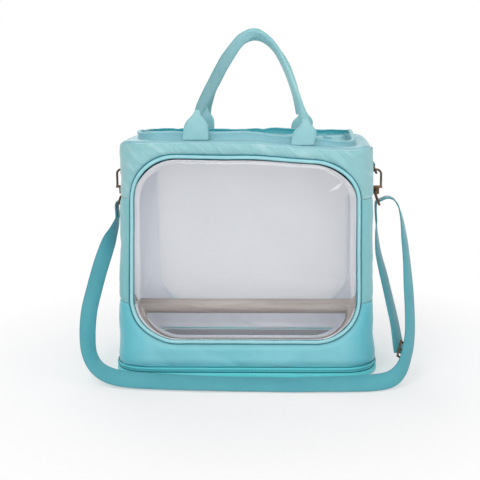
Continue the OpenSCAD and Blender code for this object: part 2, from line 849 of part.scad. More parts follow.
module sliding_buckle() {
  half = strap_w / 2 + 1 + glide_wire / 2;
  t = along(buckle_stop);
  w = across(buckle_stop);
  n = cross(w, t);
  lift = strap_t / 2 + glide_wire / 2 + glide_gap;
  color(brass) translate(stop(buckle_stop) + lift * n)
    rotate([atan2(w[2], t[2]), -asin(n[2]), atan2(n[1], n[0])]) {
      for (z = [-1, 0, 1]) translate([0, 0, z * glide_l / 2]) rotate([90, 0, 0])
        cylinder(d = glide_wire, h = 2 * half, center = true);
      for (y = [-1, 1]) translate([0, y * half, 0])
        cylinder(d = glide_wire, h = glide_l + glide_wire, center = true);
    }
}

front_upper_yoke();
front_lower_yoke();
front_strip_left();
front_strip_right();
side_panel_left();
side_panel_right();
side_mesh_left();
side_mesh_right();
back_panel();
back_mesh();
top_deck();
top_rim();
window_piping();
front_window();
base_zip_band();
base_tub();
base_board();
waste_tray();
perch_dowel();
perch_washers();
perch_screw_left();
perch_knob_right();
top_lid();
zip_teeth_deck();
zip_teeth_lid();
top_zip_slider();
top_zip_pull();
base_zip_slider();
base_zip_pull();
handle_front();
handle_front_feet();
handle_back();
handle_back_feet();
ring_tab_left();
ring_tab_right();
d_ring_left();
d_ring_right();
hook_left();
hook_right();
hook_gate_left();
hook_gate_right();
gate_pin_left();
gate_pin_right();
strap_ring_left();
strap_ring_right();
shoulder_strap();
sliding_buckle();
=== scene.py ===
# %% [markdown]
# # A soft travel carrier for a bird
# This lesson dresses a rigid model of the carrier with cloth, webbing, zips and clear film.
# The rigid model, called the frame, fixes every size and every joint. The script loads it,
# hides each soft solid, and puts a sewn piece in the same place.

# %% Load the frame
import math
import bpy
import bmesh
from mathutils import Matrix, Vector, noise


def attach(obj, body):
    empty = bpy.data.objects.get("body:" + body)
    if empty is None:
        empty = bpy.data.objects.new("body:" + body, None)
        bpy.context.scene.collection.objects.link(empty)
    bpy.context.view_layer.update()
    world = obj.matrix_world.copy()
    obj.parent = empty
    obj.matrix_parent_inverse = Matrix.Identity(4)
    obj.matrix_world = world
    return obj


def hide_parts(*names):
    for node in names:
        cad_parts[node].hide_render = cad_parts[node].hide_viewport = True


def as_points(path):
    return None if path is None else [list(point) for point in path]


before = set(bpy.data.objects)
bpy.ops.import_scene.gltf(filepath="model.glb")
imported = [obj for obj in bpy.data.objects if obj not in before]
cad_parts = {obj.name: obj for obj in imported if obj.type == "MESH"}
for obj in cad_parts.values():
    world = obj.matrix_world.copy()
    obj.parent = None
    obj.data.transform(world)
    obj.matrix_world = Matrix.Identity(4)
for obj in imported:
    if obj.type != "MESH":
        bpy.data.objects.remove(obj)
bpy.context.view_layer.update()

# %% [markdown]
# ## The camera
# The camera stands a little to the right of the middle, 1.34 m in front, and looks down by
# eleven degrees. The shift moves the picture sideways without turning the camera, which keeps
# the upright edges of the bag upright.

# %% The camera
eye = bpy.data.cameras.new("photo_camera")
eye.lens = 65.6
eye.sensor_width = 36
eye.shift_x = -0.108
eye.clip_start = 0.05
camera = bpy.data.objects.new("photo_camera", eye)
camera.location = (0.0792, -1.3404, 0.4516)
camera.rotation_euler = (math.radians(90 - 11.03), 0, math.radians(0.56))
bpy.context.scene.collection.objects.link(camera)
bpy.context.scene.camera = camera
print("lens", eye.lens, "mm")

# %% [markdown]
# ## How a sewn surface is made
# Most pieces here are skins: a row of loops, each a little further along, joined to the next.
# A grid has the same layout, so a grid is made and each of its points is put on a loop. A
# closed loop is a grid whose last column is welded to its first.

# %% A skin through loops of points
def skin(loops, round_loops=False, round_way=False, caps=False):
    """A bmesh drawn through equally long loops of points, welded where a loop or the way closes."""
    if round_loops:
        loops = [list(loop) + [loop[0]] for loop in loops]
    if round_way:
        loops = list(loops) + [loops[0]]
    along, across = len(loops) - 1, len(loops[0]) - 1
    bm = bmesh.new()
    made = bmesh.ops.create_grid(bm, x_segments=across, y_segments=along, size=1)
    for v in made["verts"]:
        i = round((v.co.y + 1) / 2 * along)
        j = round((v.co.x + 1) / 2 * across)
        v.co = Vector(loops[i][j])
    if round_loops or round_way:
        bmesh.ops.remove_doubles(bm, verts=bm.verts[:], dist=1e-6)
    if caps:
        bmesh.ops.holes_fill(bm, edges=[e for e in bm.edges if e.is_boundary], sides=0)
    bmesh.ops.recalc_face_normals(bm, faces=bm.faces[:])
    return bm


def piece(name, bm, body, materials):
    """Turns a bmesh into an object with its materials, riding on a body of the frame."""
    mesh = bpy.data.meshes.new(name)
    bm.to_mesh(mesh)
    bm.free()
    made = bpy.data.objects.new(name, mesh)
    bpy.context.scene.collection.objects.link(made)
    for material in materials:
        mesh.materials.append(material)
    mesh.polygons.foreach_set("use_smooth", [True] * len(mesh.polygons))
    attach(made, body)
    return made


def finish_with(made, kind, **settings):
    """Adds a modifier of that kind with its settings."""
    modifier = made.modifiers.new(kind.lower(), kind)
    for key, value in settings.items():
        setattr(modifier, key, value)


def turns(count, shift=0.0):
    """Angles that are spread evenly over a full turn."""
    return [2 * math.pi * (k + shift) / count for k in range(count)]


print("skin and piece are ready")

# %% [markdown]
# ## Colours and shared effects
# Cloth looks like cloth because of three things: the weave, which is finer than a millimetre,
# soft rolling dents a few centimetres wide, and a slow drift of colour. Each is one node group
# with its own inputs, so every cloth in the scene can use it with other numbers.

# %% Helpers for materials
def rgb(r, g, b):
    """A colour as it is read off a screen, 0 to 255, as the linear numbers that Blender uses."""
    def one(c):
        c /= 255
        return c / 12.92 if c <= 0.04045 else ((c + 0.055) / 1.055) ** 2.4
    return (one(r), one(g), one(b), 1)


class Nodes:
    """A short way to add nodes to a tree and to join them."""
    def __init__(self, tree):
        self.tree = tree

    def add(self, kind, inputs=None, **settings):
        node = self.tree.nodes.new(kind)
        for key, value in settings.items():
            setattr(node, key, value)
        for key, value in (inputs or {}).items():
            if isinstance(value, bpy.types.NodeSocket):
                self.tree.links.new(value, node.inputs[key])
            else:
                node.inputs[key].default_value = value
        return node

    def call(self, tree, vector, **more):
        """The outputs of a node group. more has its inputs, each with _ for a space."""
        inputs = {"Vector": vector}
        inputs.update({key.capitalize().replace("_", " "): value for key, value in more.items()})
        return self.add("ShaderNodeGroup", inputs, node_tree=tree).outputs

    def math(self, way, a, b=0.0, c=0.0, clamp=False):
        return self.add("ShaderNodeMath", {0: a, 1: b, 2: c}, operation=way, use_clamp=clamp).outputs[0]

    def mix(self, factor, a, b, blend="MIX"):
        return self.add("ShaderNodeMix", {0: factor, 6: a, 7: b}, data_type="RGBA",
                        blend_type=blend).outputs[2]

    def place(self):
        return self.add("ShaderNodeTexCoord").outputs["Object"]

    def noise(self, vector, scale, **more):
        inputs = {"Vector": vector, "Scale": scale}
        inputs.update({key.capitalize(): value for key, value in more.items()})
        return self.add("ShaderNodeTexNoise", inputs).outputs[0]

    def bump(self, strength, distance, height, **more):
        inputs = {"Strength": strength, "Distance": distance, "Height": height}
        inputs.update({key.capitalize(): value for key, value in more.items()})
        return self.add("ShaderNodeBump", inputs).outputs[0]

    def ramp(self, value, start, slope):
        """0 up to start, then up by slope for each 1, as far as 1."""
        return self.math("MULTIPLY", self.math("SUBTRACT", value, start), slope, clamp=True)

    def surface(self, inputs):
        """A Principled shader that is joined to the material's output."""
        shader = self.add("ShaderNodeBsdfPrincipled", inputs)
        self.add("ShaderNodeOutputMaterial", {"Surface": shader.outputs[0]})


def new_material(name):
    """A material with an empty node tree, and the Nodes to fill it."""
    material = bpy.data.materials.new(name)
    material.use_nodes = True
    material.node_tree.nodes.clear()
    return material, Nodes(material.node_tree)


def group(name, inputs, outputs):
    """An empty node group with its named sockets, and its input and output nodes."""
    tree = bpy.data.node_groups.new(name, "ShaderNodeTree")
    for label, kind, value in inputs:
        socket = tree.interface.new_socket(label, in_out="INPUT", socket_type=kind)
        if value is not None:
            socket.default_value = value
    for label, kind in outputs:
        tree.interface.new_socket(label, in_out="OUTPUT", socket_type=kind)
    n = Nodes(tree)
    return tree, n, n.add("NodeGroupInput").outputs, n.add("NodeGroupOutput").inputs


print("teal in linear numbers:", [round(c, 3) for c in rgb(120, 191, 201)])

# %% The weave of a cloth
FLOAT, COLOR, VECTOR = "NodeSocketFloat", "NodeSocketColor", "NodeSocketVector"
ROUND = 6.2832  # a full turn, for waves that repeat once for each 1 they are given
weave, n, given, out = group("Weave", [("Vector", VECTOR, None), ("Threads per metre", FLOAT, 1500.0),
                                       ("Unevenness", FLOAT, 0.4)], [("Height", FLOAT)])
scaled = n.add("ShaderNodeVectorMath", {0: given["Vector"], "Scale": given["Threads per metre"]},
               operation="SCALE").outputs[0]
parts = n.add("ShaderNodeSeparateXYZ", {0: scaled}).outputs
up = n.math("SINE", n.math("MULTIPLY", parts[2], ROUND))
across = n.math("SINE", n.math("MULTIPLY", n.math("ADD", parts[0], parts[1]), ROUND))
slubs = n.noise(given["Vector"], 260.0, detail=2.0)
uneven = n.math("MULTIPLY", n.math("SUBTRACT", slubs, 0.5), given["Unevenness"])
knots = n.math("MULTIPLY", n.math("MULTIPLY", up, across), 0.5)
n.tree.links.new(n.math("ADD", knots, uneven), out["Height"])
print("group", weave.name)

# %% Soft dents and creases
dents, n, given, out = group("Dents", [("Vector", VECTOR, None), ("Size", FLOAT, 0.05),
                                       ("Creases", FLOAT, 0.5)], [("Height", FLOAT), ("Painted crease shade", FLOAT)])
per_metre = n.math("DIVIDE", 1.0, given["Size"])
slow = n.noise(given["Vector"], per_metre, detail=2.0, distortion=0.8)
fold = n.noise(given["Vector"], n.math("MULTIPLY", per_metre, 1.7), detail=3.0, distortion=1.6)
from_line = n.math("ABSOLUTE", n.math("SUBTRACT", fold, 0.5))
line = n.math("SUBTRACT", 1.0, n.math("MULTIPLY", from_line, 9.0), clamp=True)
line = n.math("MULTIPLY", line, line)
down = n.math("MULTIPLY", line, n.math("MULTIPLY", given["Creases"], 0.35))
n.tree.links.new(n.math("SUBTRACT", slow, down), out["Height"])
# The second output is a mask of the creases, used to paint shade into them.
n.tree.links.new(n.math("MULTIPLY", line, given["Creases"]), out["Painted crease shade"])
print("group", dents.name)

# %% A slow drift between two colours
drift, n, given, out = group("Drift", [("Vector", VECTOR, None), ("Colour", COLOR, (1, 1, 1, 1)),
                                       ("Other colour", COLOR, (0, 0, 0, 1)), ("Size", FLOAT, 0.08),
                                       ("Amount", FLOAT, 0.5)], [("Colour", COLOR), ("Mask", FLOAT)])
cloud = n.noise(given["Vector"], n.math("DIVIDE", 1.0, given["Size"]), detail=4.0, roughness=0.6)
mask = n.math("MULTIPLY", n.ramp(cloud, 0.35, 3.0), given["Amount"])
n.tree.links.new(n.mix(mask, given["Colour"], given["Other colour"]), out["Colour"])
n.tree.links.new(mask, out["Mask"])
print("group", drift.name)

# %% [markdown]
# ## The cloths
# The shell is a smooth coated nylon. It has a soft shine, so its dents show as pale and dark
# patches more than its weave does. The lining is a paler, duller cloth, and the webbing has
# ribs across it that follow the strap, so its material reads the strap's own UV map.

# %% A cloth material
def cloth(name, colour, other, dent=0.05, creases=0.6, rough=0.5, sheen=0.25, dent_depth=0.002,
          weave_depth=0.00006):
    """A woven cloth that drifts between two colours, with shade painted darker into its creases. dent is the
    width of its dents in metres.
    """
    material, n = new_material(name)
    place = n.place()
    woven = n.call(weave, place)["Height"]
    dented = n.call(dents, place, size=dent, creases=creases)
    drifted = n.call(drift, place, colour=rgb(*colour), other_colour=rgb(*other))
    # Painted shade: the creases are painted darker, towards 0.72 of the colour.
    painted_fold_shade = rgb(*(0.72 * c for c in colour))
    shade = n.mix(n.math("MULTIPLY", dented["Painted crease shade"], 0.25), drifted["Colour"], painted_fold_shade)
    dull = n.math("ADD", rough, n.math("MULTIPLY", drifted["Mask"], 0.12))
    slow = n.bump(0.6, dent_depth, dented["Height"])
    n.surface({"Base Color": shade, "Roughness": dull, "Normal": n.bump(0.5, weave_depth, woven, normal=slow),
               "Sheen Weight": sheen, "Sheen Roughness": 0.4, "Specular IOR Level": 0.4})
    return material


shell_cloth = cloth("shell_cloth", (120, 195, 206), (138, 203, 212), dent=0.08, creases=0.1, rough=0.4,
                    dent_depth=0.005)
pale_cloth = cloth("pale_cloth", (140, 190, 194), (154, 198, 201), dent=0.045, creases=0.12, rough=0.4,
                   dent_depth=0.004)
side_cloth = cloth("side_cloth", (122, 184, 189), (132, 190, 195), dent=0.06, creases=0.1, rough=0.42,
                   dent_depth=0.003)
base_cloth = cloth("base_cloth", (96, 212, 218), (110, 216, 221), dent=0.06, creases=0.1, rough=0.45)
# Painted shade: the sunk lid and the inside of the rim get this darker teal, as shade in the recess.
lid_painted_shade_cloth = cloth("lid_painted_shade_cloth", (70, 166, 178), (86, 176, 187), creases=0.15, rough=0.45)
rim_cloth = cloth("rim_cloth", (130, 184, 194), (146, 194, 202), dent=0.03, creases=0.15, rough=0.42)
lining_cloth = cloth("lining_cloth", (232, 234, 241), (238, 240, 245), rough=0.75, sheen=0.1, creases=0.1,
                     dent_depth=0.001)
piping_cloth = cloth("piping_cloth", (150, 205, 211), (160, 212, 218), dent=0.012, creases=0.3, rough=0.45,
                     dent_depth=0.0006)
grip_cloth = cloth("grip_cloth", (132, 186, 192), (164, 206, 209), dent=0.03, creases=0.15, rough=0.4,
                   dent_depth=0.0016, weave_depth=0.00002)
strap_grip_painted_shade_cloth = cloth("strap_grip_painted_shade_cloth", (118, 176, 183), (156, 200, 203), dent=0.03, creases=0.15,
                         rough=0.4, dent_depth=0.0016, weave_depth=0.00002)
# Painted shade: a dark teal for thin tubes laid along seams, as shade in the seam grooves.
seam_shade_cloth = cloth("seam_shade_cloth", (34, 118, 134), (46, 130, 146), rough=0.7, sheen=0.1, creases=0.2)
print("cloths:", [m.name for m in bpy.data.materials if m.name.endswith("cloth")])

# %% Painted shade and light on some cloths, and slantwise folds with painted highlights along their tops
def tinted(material, tint):
    """Multiplies the colour that goes into a material's shader."""
    tree = material.node_tree
    shader = next(node for node in tree.nodes if node.bl_idname == "ShaderNodeBsdfPrincipled")
    colour = shader.inputs["Base Color"].links[0].from_socket
    tree.links.new(Nodes(tree).mix(1.0, colour, tint, blend="MULTIPLY"), shader.inputs["Base Color"])


def folds_with_painted_light(material, angle, size, stretch, depth):
    """Slack folds that run slantwise: ridges along one way of the front, with a painted highlight along their
    tops and painted shade between them.
    """
    tree = material.node_tree
    first = next(node for node in tree.nodes if node.bl_idname == "ShaderNodeBump"
                 and not node.inputs["Normal"].is_linked)
    n = Nodes(tree)
    turned = n.add("ShaderNodeVectorRotate", {"Vector": n.place(), "Angle": angle},
                   rotation_type="Y_AXIS").outputs[0]
    long = n.add("ShaderNodeMapping", {"Vector": turned, "Scale": (1 / size, 0.3 / size, 1 / size / stretch)})
    ridge = n.noise(long.outputs[0], 1.0, detail=1.0, distortion=0.5)
    tree.links.new(n.bump(0.7, depth, ridge), first.inputs["Normal"])
    # Painted highlight along the tops of the folds, and painted shade between them.
    tinted(material, n.mix(n.ramp(ridge, 0.52, 5.0), (0.93, 0.97, 0.97, 1), (1.26, 1.12, 1.11, 1)))


folds_with_painted_light(pale_cloth, 0.8, 0.011, 5.0, 0.006)

# Painted light and shade: the straps of the handles are a darker copy of the grip cloth, painted darker at
# the left as shade and paler to the right as light.
n = Nodes(strap_grip_painted_shade_cloth.node_tree)
parts = n.add("ShaderNodeSeparateXYZ", {0: n.place()}).outputs
painted_light_to_right = n.ramp(parts["X"], -0.035, 1 / 0.047)
tinted(strap_grip_painted_shade_cloth, n.mix(painted_light_to_right, (0.68, 0.71, 0.72, 1), (1.18, 1.1, 1.08, 1)))

# Painted shade: the shell is painted a deeper, darker teal low down at its corners, as shade where they round
# away.
n = Nodes(shell_cloth.node_tree)
parts = n.add("ShaderNodeSeparateXYZ", {0: n.place()}).outputs
inwards = n.ramp(n.math("ABSOLUTE", parts["X"]), 0.182, -1 / 0.037)
upwards = n.ramp(parts["Z"], 0.10, 1 / 0.06)
tinted(shell_cloth, n.mix(n.math("MAXIMUM", inwards, upwards), (0.52, 0.86, 0.89, 1), (1, 1, 1, 1)))
print("folds and shades are on", pale_cloth.name, strap_grip_painted_shade_cloth.name, "and", shell_cloth.name)

# %% Webbing that is ribbed across its length
def webbing(name, colour, other, ribs=900.0, cords=34):
    """Webbing with that many ribs for each metre of its length and cords across its width."""
    material, n = new_material(name)
    place = n.place()
    line = n.add("ShaderNodeSeparateXYZ", {0: n.add("ShaderNodeTexCoord").outputs["UV"]}).outputs
    drifted = n.call(drift, place, colour=rgb(*colour), other_colour=rgb(*other), size=0.05, amount=0.7)
    dented = n.call(dents, place, size=0.03, creases=0.4)
    rib = n.math("SINE", n.math("MULTIPLY", line[1], ribs * ROUND))
    warp = n.math("SINE", n.math("MULTIPLY", line[0], cords * ROUND))
    height = n.math("ADD", n.math("MULTIPLY", rib, 0.7), n.math("MULTIPLY", warp, 0.3))
    # Painted shade: the two edges of the webbing are painted darker, as shade where the band rounds off.
    edge = n.ramp(n.math("ABSOLUTE", n.math("SUBTRACT", line[0], 0.5)), 0.42, 12.0)
    slow = n.bump(0.5, 0.001, dented["Height"])
    shade = n.mix(n.math("MULTIPLY", edge, 0.45), drifted["Colour"], rgb(*(0.75 * c for c in colour)))
    shade = n.mix(n.math("MULTIPLY", n.math("ADD", rib, 1.0), 0.06), shade, rgb(*(0.6 * c for c in colour)))
    n.surface({"Base Color": shade, "Roughness": 0.5, "Normal": n.bump(0.6, 0.00012, height, normal=slow),
               "Sheen Weight": 0.3, "Sheen Roughness": 0.4, "Specular IOR Level": 0.4})
    return material


strap_webbing = webbing("strap_webbing", (80, 164, 175), (68, 152, 165))
print("webbing:", strap_webbing.name)

# %% [markdown]
# ## The shoulder strap
# The strap is one flat band of webbing. It is sewn round the left ring, lies on the ground in
# front of the bag, climbs to the right ring, and comes back down to its buckle. The rigid model
# has the same band through 53 stops. The points between them come from a smooth curve, and
# the band's width turns slowly on the way, as webbing does.

# %% The stops of the strap, in millimetres, with the way that its width faces
LEFT = [((-202, 0, 226), (0, 1, 0)), ((-197.5, 0, 240), (0, 1, 0)), ((-195.8, 0, 246), (0, 1, 0)),
        ((-196.2, 0, 250), (0, 1, 0)), ((-199.5, 0, 253), (0, 1, 0)), ((-203.6, 0, 251.5), (0, 1, 0)),
        ((-205.5, 0, 247), (0, 1, 0)), ((-205.5, 0, 240), (0, 1, 0)), ((-205.5, 0, 226), (0, 1, 0)),
        ((-210, -2, 210), (0.4, 1, 0)), ((-218, -8, 190), (0.8, 0.7, 0)), ((-228, -26, 156), (1, 0.3, 0)),
        ((-235, -48, 122), (1, 0.2, 0)), ((-239, -68, 94), (1, 0.3, 0)), ((-238, -88, 66), (1, 0.6, 0)),
        ((-232, -108, 42), (0.8, 1, 0.2))]
GROUND = [((-218, -124, 25), (0.3, 1, 0.6)), ((-196, -136, 16), (0, 0.7, 0.8)),
          ((-168, -143, 13), (0, 0.6, 0.9)), ((-130, -147, 12), (0, 0.6, 0.8)),
          ((-90, -149, 11), (0, 0.7, 0.7)), ((-50, -150, 10), (0, 0.8, 0.6)),
          ((-10, -150, 9), (0, 0.8, 0.6)), ((30, -151, 9), (0, 0.8, 0.6)), ((70, -152, 9), (0, 0.8, 0.6)),
          ((110, -152, 10), (0, 0.8, 0.7)), ((150, -152, 11), (0, 0.7, 0.8)),
          ((185, -150, 12), (-0.1, 0.5, 0.9)), ((210, -143, 15), (-0.4, 0.2, 0.9)),
          ((226, -130, 25), (-0.6, -0.2, 0.8))]
RIGHT = [((236, -112, 44), (-0.6, -0.8, -0.2)), ((242, -92, 66), (-0.6, -0.8, 0)),
         ((244, -70, 94), (-0.6, -0.8, 0)), ((244, -46, 128), (-0.6, -0.8, 0)),
         ((243, -26, 162), (-0.5, -0.9, 0)), ((240, -12, 196), (-0.4, -0.9, 0)),
         ((236, -4, 226), (-0.2, -1, 0)), ((230, 0, 246), (0, -1, 0)), ((222, 0, 256), (0, -1, 0)),
         ((212, 0, 258), (0, -1, 0)), ((204, 0, 254.5), (0, -1, 0)), ((199.5, 0, 253), (0, -1, 0)),
         ((196.2, 0, 250), (0, -1, 0)), ((195.8, 0, 245), (0, -1, 0)), ((196, 0, 236), (0, -1, 0)),
         ((197, 0, 222), (0, -1, 0)), ((198, 0, 200), (-0.2, -1, 0)), ((201, -4, 172), (-0.4, -1, 0)),
         ((208, -16, 142), (-0.5, -0.9, 0)), ((216, -38, 106), (-0.5, -0.9, 0)),
         ((222, -64, 76), (-0.5, -0.9, 0)), ((225, -86, 54), (-0.5, -0.9, -0.1)),
         ((228, -103, 40), (-0.6, -0.8, -0.2))]
STRAP_WIDTH, STRAP_THICK = 0.024, 0.002


def smooth_through(stops, spacing):
    """Points and width directions about that far apart on a curve through the stops."""
    spots = [Vector(p) * 0.001 for p, w in stops]
    ways = [Vector(w) for p, w in stops]
    line, widths = [], []
    for i in range(len(spots) - 1):
        a, b = spots[max(i - 1, 0)], spots[i]
        c, d = spots[i + 1], spots[min(i + 2, len(spots) - 1)]
        steps = max(1, round((c - b).length / spacing))
        for k in range(steps):
            t = k / steps
            line.append(0.5 * ((2 * b) + (c - a) * t + (2 * a - 5 * b + 4 * c - d) * t * t
                               + (3 * b - a - 3 * c + d) * t ** 3))
            widths.append(ways[i].lerp(ways[i + 1], t))
    return line + [spots[-1]], widths + [ways[-1]]


def band(line, widths, width, thick):
    """Loops of a flat band along a line, and how far each loop is from the start."""
    loops, run, done = [], [], 0.0
    for i, p in enumerate(line):
        t = (line[min(i + 1, len(line) - 1)] - line[max(i - 1, 0)]).normalized()
        w = (widths[i] - widths[i].dot(t) * t).normalized()
        n = t.cross(w)
        a, b = width / 2, thick / 2
        soft = b * 0.7
        corners = [(a, soft * 0.5), (a - soft, b), (0, b), (-a + soft, b), (-a, soft * 0.5),
                   (-a, -soft * 0.5), (-a + soft, -b), (0, -b), (a - soft, -b), (a, -soft * 0.5)]
        loops.append([p + x * w + y * n for x, y in corners])
        if i:
            done += (p - line[i - 1]).length
        run.append(done)
    return loops, run


def band_uv(made, loops, run, width):
    """UV of a band: across it from 0 to 1, and along it in metres."""
    where = {}
    for loop, far in zip(loops, run):
        middle = sum(loop, Vector()) / len(loop)
        w = (loop[0] - loop[4]).normalized()
        for p in loop:
            where[tuple(round(c, 5) for c in p)] = ((p - middle).dot(w) / width + 0.5, far)
    uv = made.data.uv_layers.new(name="UVMap")
    for corner in made.data.loops:
        key = tuple(round(c, 5) for c in made.data.vertices[corner.vertex_index].co)
        uv.data[corner.index].uv = where.get(key, (0.5, 0))


strap_line, strap_widths = smooth_through(LEFT + GROUND + RIGHT, 0.005)
strap_loops, strap_run = band(strap_line, strap_widths, STRAP_WIDTH, STRAP_THICK)
strap = piece("strap_band", skin(strap_loops, round_loops=True, caps=True), "bag", [strap_webbing])
band_uv(strap, strap_loops, strap_run, STRAP_WIDTH)
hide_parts("shoulder_strap")
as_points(strap_line)
print("strap", round(strap_run[-1], 3), "m in", len(strap_loops), "loops")

# %% [markdown]
# ## The form of the bag
# The walls stand on a rounded rectangle, so a place on them is a distance along the wall and a
# height. Cloth is never as straight as that. One function, drape, moves any point of the bag to
# where the soft cloth has it: it leans out to the base, sags at the front edge, and rolls in
# soft folds. Every panel uses it, so that panels which share a seam still meet.

# %% Places on the walls
# Width, depth, corner radius, height of the deck, radius over its ends, and the walls' lower edge
W, D, R, TOP, ROLL, LOW = 0.372, 0.200, 0.045, 0.352, 0.018, 0.0185
FOOTPRINT = (W, D, R, (0, 0))
FLAT, ARC = W / 2 - R, R * math.pi / 2
REACH = FLAT + ARC


def wall(s, z, out=0.0, back=False):
    """The point of the wall at s along it from the middle of the front, or of the back."""
    a, side = abs(s), (1 if s >= 0 else -1)
    if a <= FLAT:
        x, y = a, -D / 2 - out
    elif a <= REACH:
        turn = (a - FLAT) / R
        x, y = FLAT + (R + out) * math.sin(turn), -(D / 2 - R) - (R + out) * math.cos(turn)
    else:
        x, y = W / 2 + out, -(D / 2 - R) + (a - REACH)
    return Vector((side * x, -y if back else y, z))


def wall_way(s, z, back=False):
    """The way straight out of the wall at a place on it."""
    return (wall(s, z, 1.0, back) - wall(s, z, 0.0, back)).normalized()


def level_way(p):
    """The level way from the middle of the bag to a point."""
    return Vector((p.x, p.y, 0)).normalized()


def along_wall(x):
    """How far along the wall a place lies whose distance from the middle plane is x."""
    a = abs(x)
    if a > FLAT:
        a = FLAT + R * math.asin(min(1.0, (a - FLAT) / R))
    return math.copysign(a, x)


def roll_drop(x):
    """How far the top is below the deck at x, where it rolls over to the sides."""
    a = abs(x) - (W / 2 - ROLL)
    return 0.0 if a <= 0 else ROLL - math.sqrt(max(0.0, ROLL * ROLL - a * a))


print("wall from the middle to the side seam:", round(REACH, 4), "m")


# %% The soft form of the cloth
def ease(a, b, v):
    """0 where v is at a, 1 where it is at b, and a soft step between them."""
    t = max(0.0, min(1.0, (v - a) / (b - a)))
    return t * t * (3 - 2 * t)


def outward(p):
    """The way out of the bag at a point, which turns slowly over its edges."""
    q = Vector((p.x / (W / 2), p.y / (D / 2), (p.z - TOP / 2) / (TOP / 2)))
    n = Vector((q.x ** 7 / W * 2, q.y ** 7 / D * 2, q.z ** 7 / TOP * 2))
    return n.normalized() if n.length > 1e-9 else Vector((0, 0, 1))


def folds(p, size, seed):
    """Rolling waves of that size, from about -1 to 1. The seed picks another stretch of them."""
    return noise.noise(Vector((p.x / size + seed, p.y / size + 3 * seed, p.z / size - seed)))


def crease(p, size, seed):
    """A narrow fold: 1 along wandering lines, and 0 away from them."""
    v = abs(folds(p, size, seed) + 0.5 * folds(p, size * 0.45, seed + 7))
    return max(0.0, 1 - v * 7) ** 2


# How far the cloth goes out or down at its most, in metres
SLACK_LEFT, SLACK_RIGHT = 0.0085, 0.0035
SPREAD_ENDS, SPREAD_FRONT, PINCH = 0.0055, 0.002, 0.0022
SAG_FRONT, SAG_BACK = 0.0098, 0.002


def corner_slack(x, y):
    """How far the cloth low down at the front corners hangs out sideways, most at the left."""
    return (SLACK_RIGHT if x > 0 else -SLACK_LEFT) * (ease(0.0, -0.05, y) * ease(0.13, 0.18, abs(x)))


def drape(p, calm=0.0):
    """Where the soft cloth has a point of the rigid form. calm is 1 where a seam or frame holds it."""
    p = Vector(p)
    n = outward(p)
    foot = ease(0.11, 0.0, p.z)
    high = ease(0.25, TOP, p.z)
    # Folds of three sizes, one long crease, and small gathers where the cloth is pulled tight
    skewed = Vector((p.x + 0.25 * p.z, p.y, p.z * 0.8 - 0.3 * p.x))
    soft = 0.0022 * folds(p, 0.075, 1.3) + 0.0012 * folds(skewed, 0.034, 4.1) + 0.0005 * folds(p, 0.014, 8.8)
    soft -= 0.0016 * crease(skewed, 0.11, 2.2)
    tight = ease(0.06, 0.02, p.z) + 0.5 * high
    soft += 0.0012 * tight * folds(Vector((p.x, p.y, p.z * 0.35)), 0.02, 5.5)
    p = p + n * soft * (1 - calm)
    # The ends spread to the base, with a pinch above it, and the front corners hang out further
    p.x += math.copysign(SPREAD_ENDS * foot * min(1.0, abs(p.x) / 0.12), p.x)
    pinch = PINCH * math.exp(-((p.z - 0.052) / 0.02) ** 2)
    p.x -= math.copysign(pinch * ease(0.10, 0.18, abs(p.x)), p.x)
    p.x += corner_slack(p.x, p.y) * ease(0.31, 0.08, p.z)
    p.y += math.copysign(SPREAD_FRONT * foot * min(1.0, abs(p.y) / 0.08), p.y)
    # The top edge sags in front, most at the right, and a little at the back
    near = ease(0.03, -0.09, p.y) * high
    p.z -= SAG_FRONT * near * ease(-0.02, 0.15, p.x) * (1 - 0.45 * ease(0.155, 0.186, p.x))
    p.z -= SAG_BACK * high * ease(0.03, 0.09, p.y)
    p.z += 0.0012 * high * folds(Vector((p.x, 0, 0)), 0.05, 6.1)
    return p


print("the front edge sags by", round((TOP - drape((0.15, -0.1, TOP)).z) * 1000, 1), "mm at the right")

# %% [markdown]
# ## Panels with a rounded opening
# The front, the sides, the back and the deck are each a panel round an opening. A panel is
# drawn as loops that grow from the rounded opening to the straight outer edge, flat on a
# pattern, as cloth is cut. Then it is cut into its pieces with a plane, as with scissors, and
# only then laid on the bag. Each seam pulls the cloth in, and the cloth puffs up beside it.

# %% Rounded outlines
def outline(w, h, r, middle, count):
    """Points round a rounded rectangle. Each eighth has as many, so outlines pair corner to corner."""
    part = count // 8

    def eighth(half, other):
        straight = half - r
        length = straight + r * math.pi / 4
        for k in range(part):
            d = length * k / part
            if d <= straight or r == 0:
                yield d, other
            else:
                a = (d - straight) / r
                yield straight + r * math.sin(a), other - r + r * math.cos(a)

    along = list(eighth(w / 2, h / 2))
    corner = w / 2 - r + r * math.sin(math.pi / 4), h / 2 - r + r * math.cos(math.pi / 4)
    up = [(y, x) for x, y in eighth(h / 2, w / 2)]
    quarter = [(x, -y) for x, y in along] + [(corner[0], -corner[1])] + [(x, -y) for x, y in reversed(up[1:])]
    loop = list(quarter)
    loop += [(w / 2, 0)] + [(x, -y) for x, y in reversed(quarter[1:])]
    loop += [(0, h / 2)] + [(-x, -y) for x, y in quarter[1:]]
    loop += [(-w / 2, 0)] + [(-x, y) for x, y in reversed(quarter[1:])]
    return [(x + middle[0], y + middle[1]) for x, y in loop]


def grown(shape, out, count):
    """The outline of a shape (width, height, radius, middle) that is made larger all round by out."""
    w, h, r, middle = shape
    return outline(w + 2 * out, h + 2 * out, r + out, middle, count)


def away(x, y, w, h, r, middle):
    """How far a place on the pattern is outside a rounded rectangle."""
    qx, qy = abs(x - middle[0]) - w / 2 + r, abs(y - middle[1]) - h / 2 + r
    return math.hypot(max(qx, 0), max(qy, 0)) + min(max(qx, qy), 0) - r


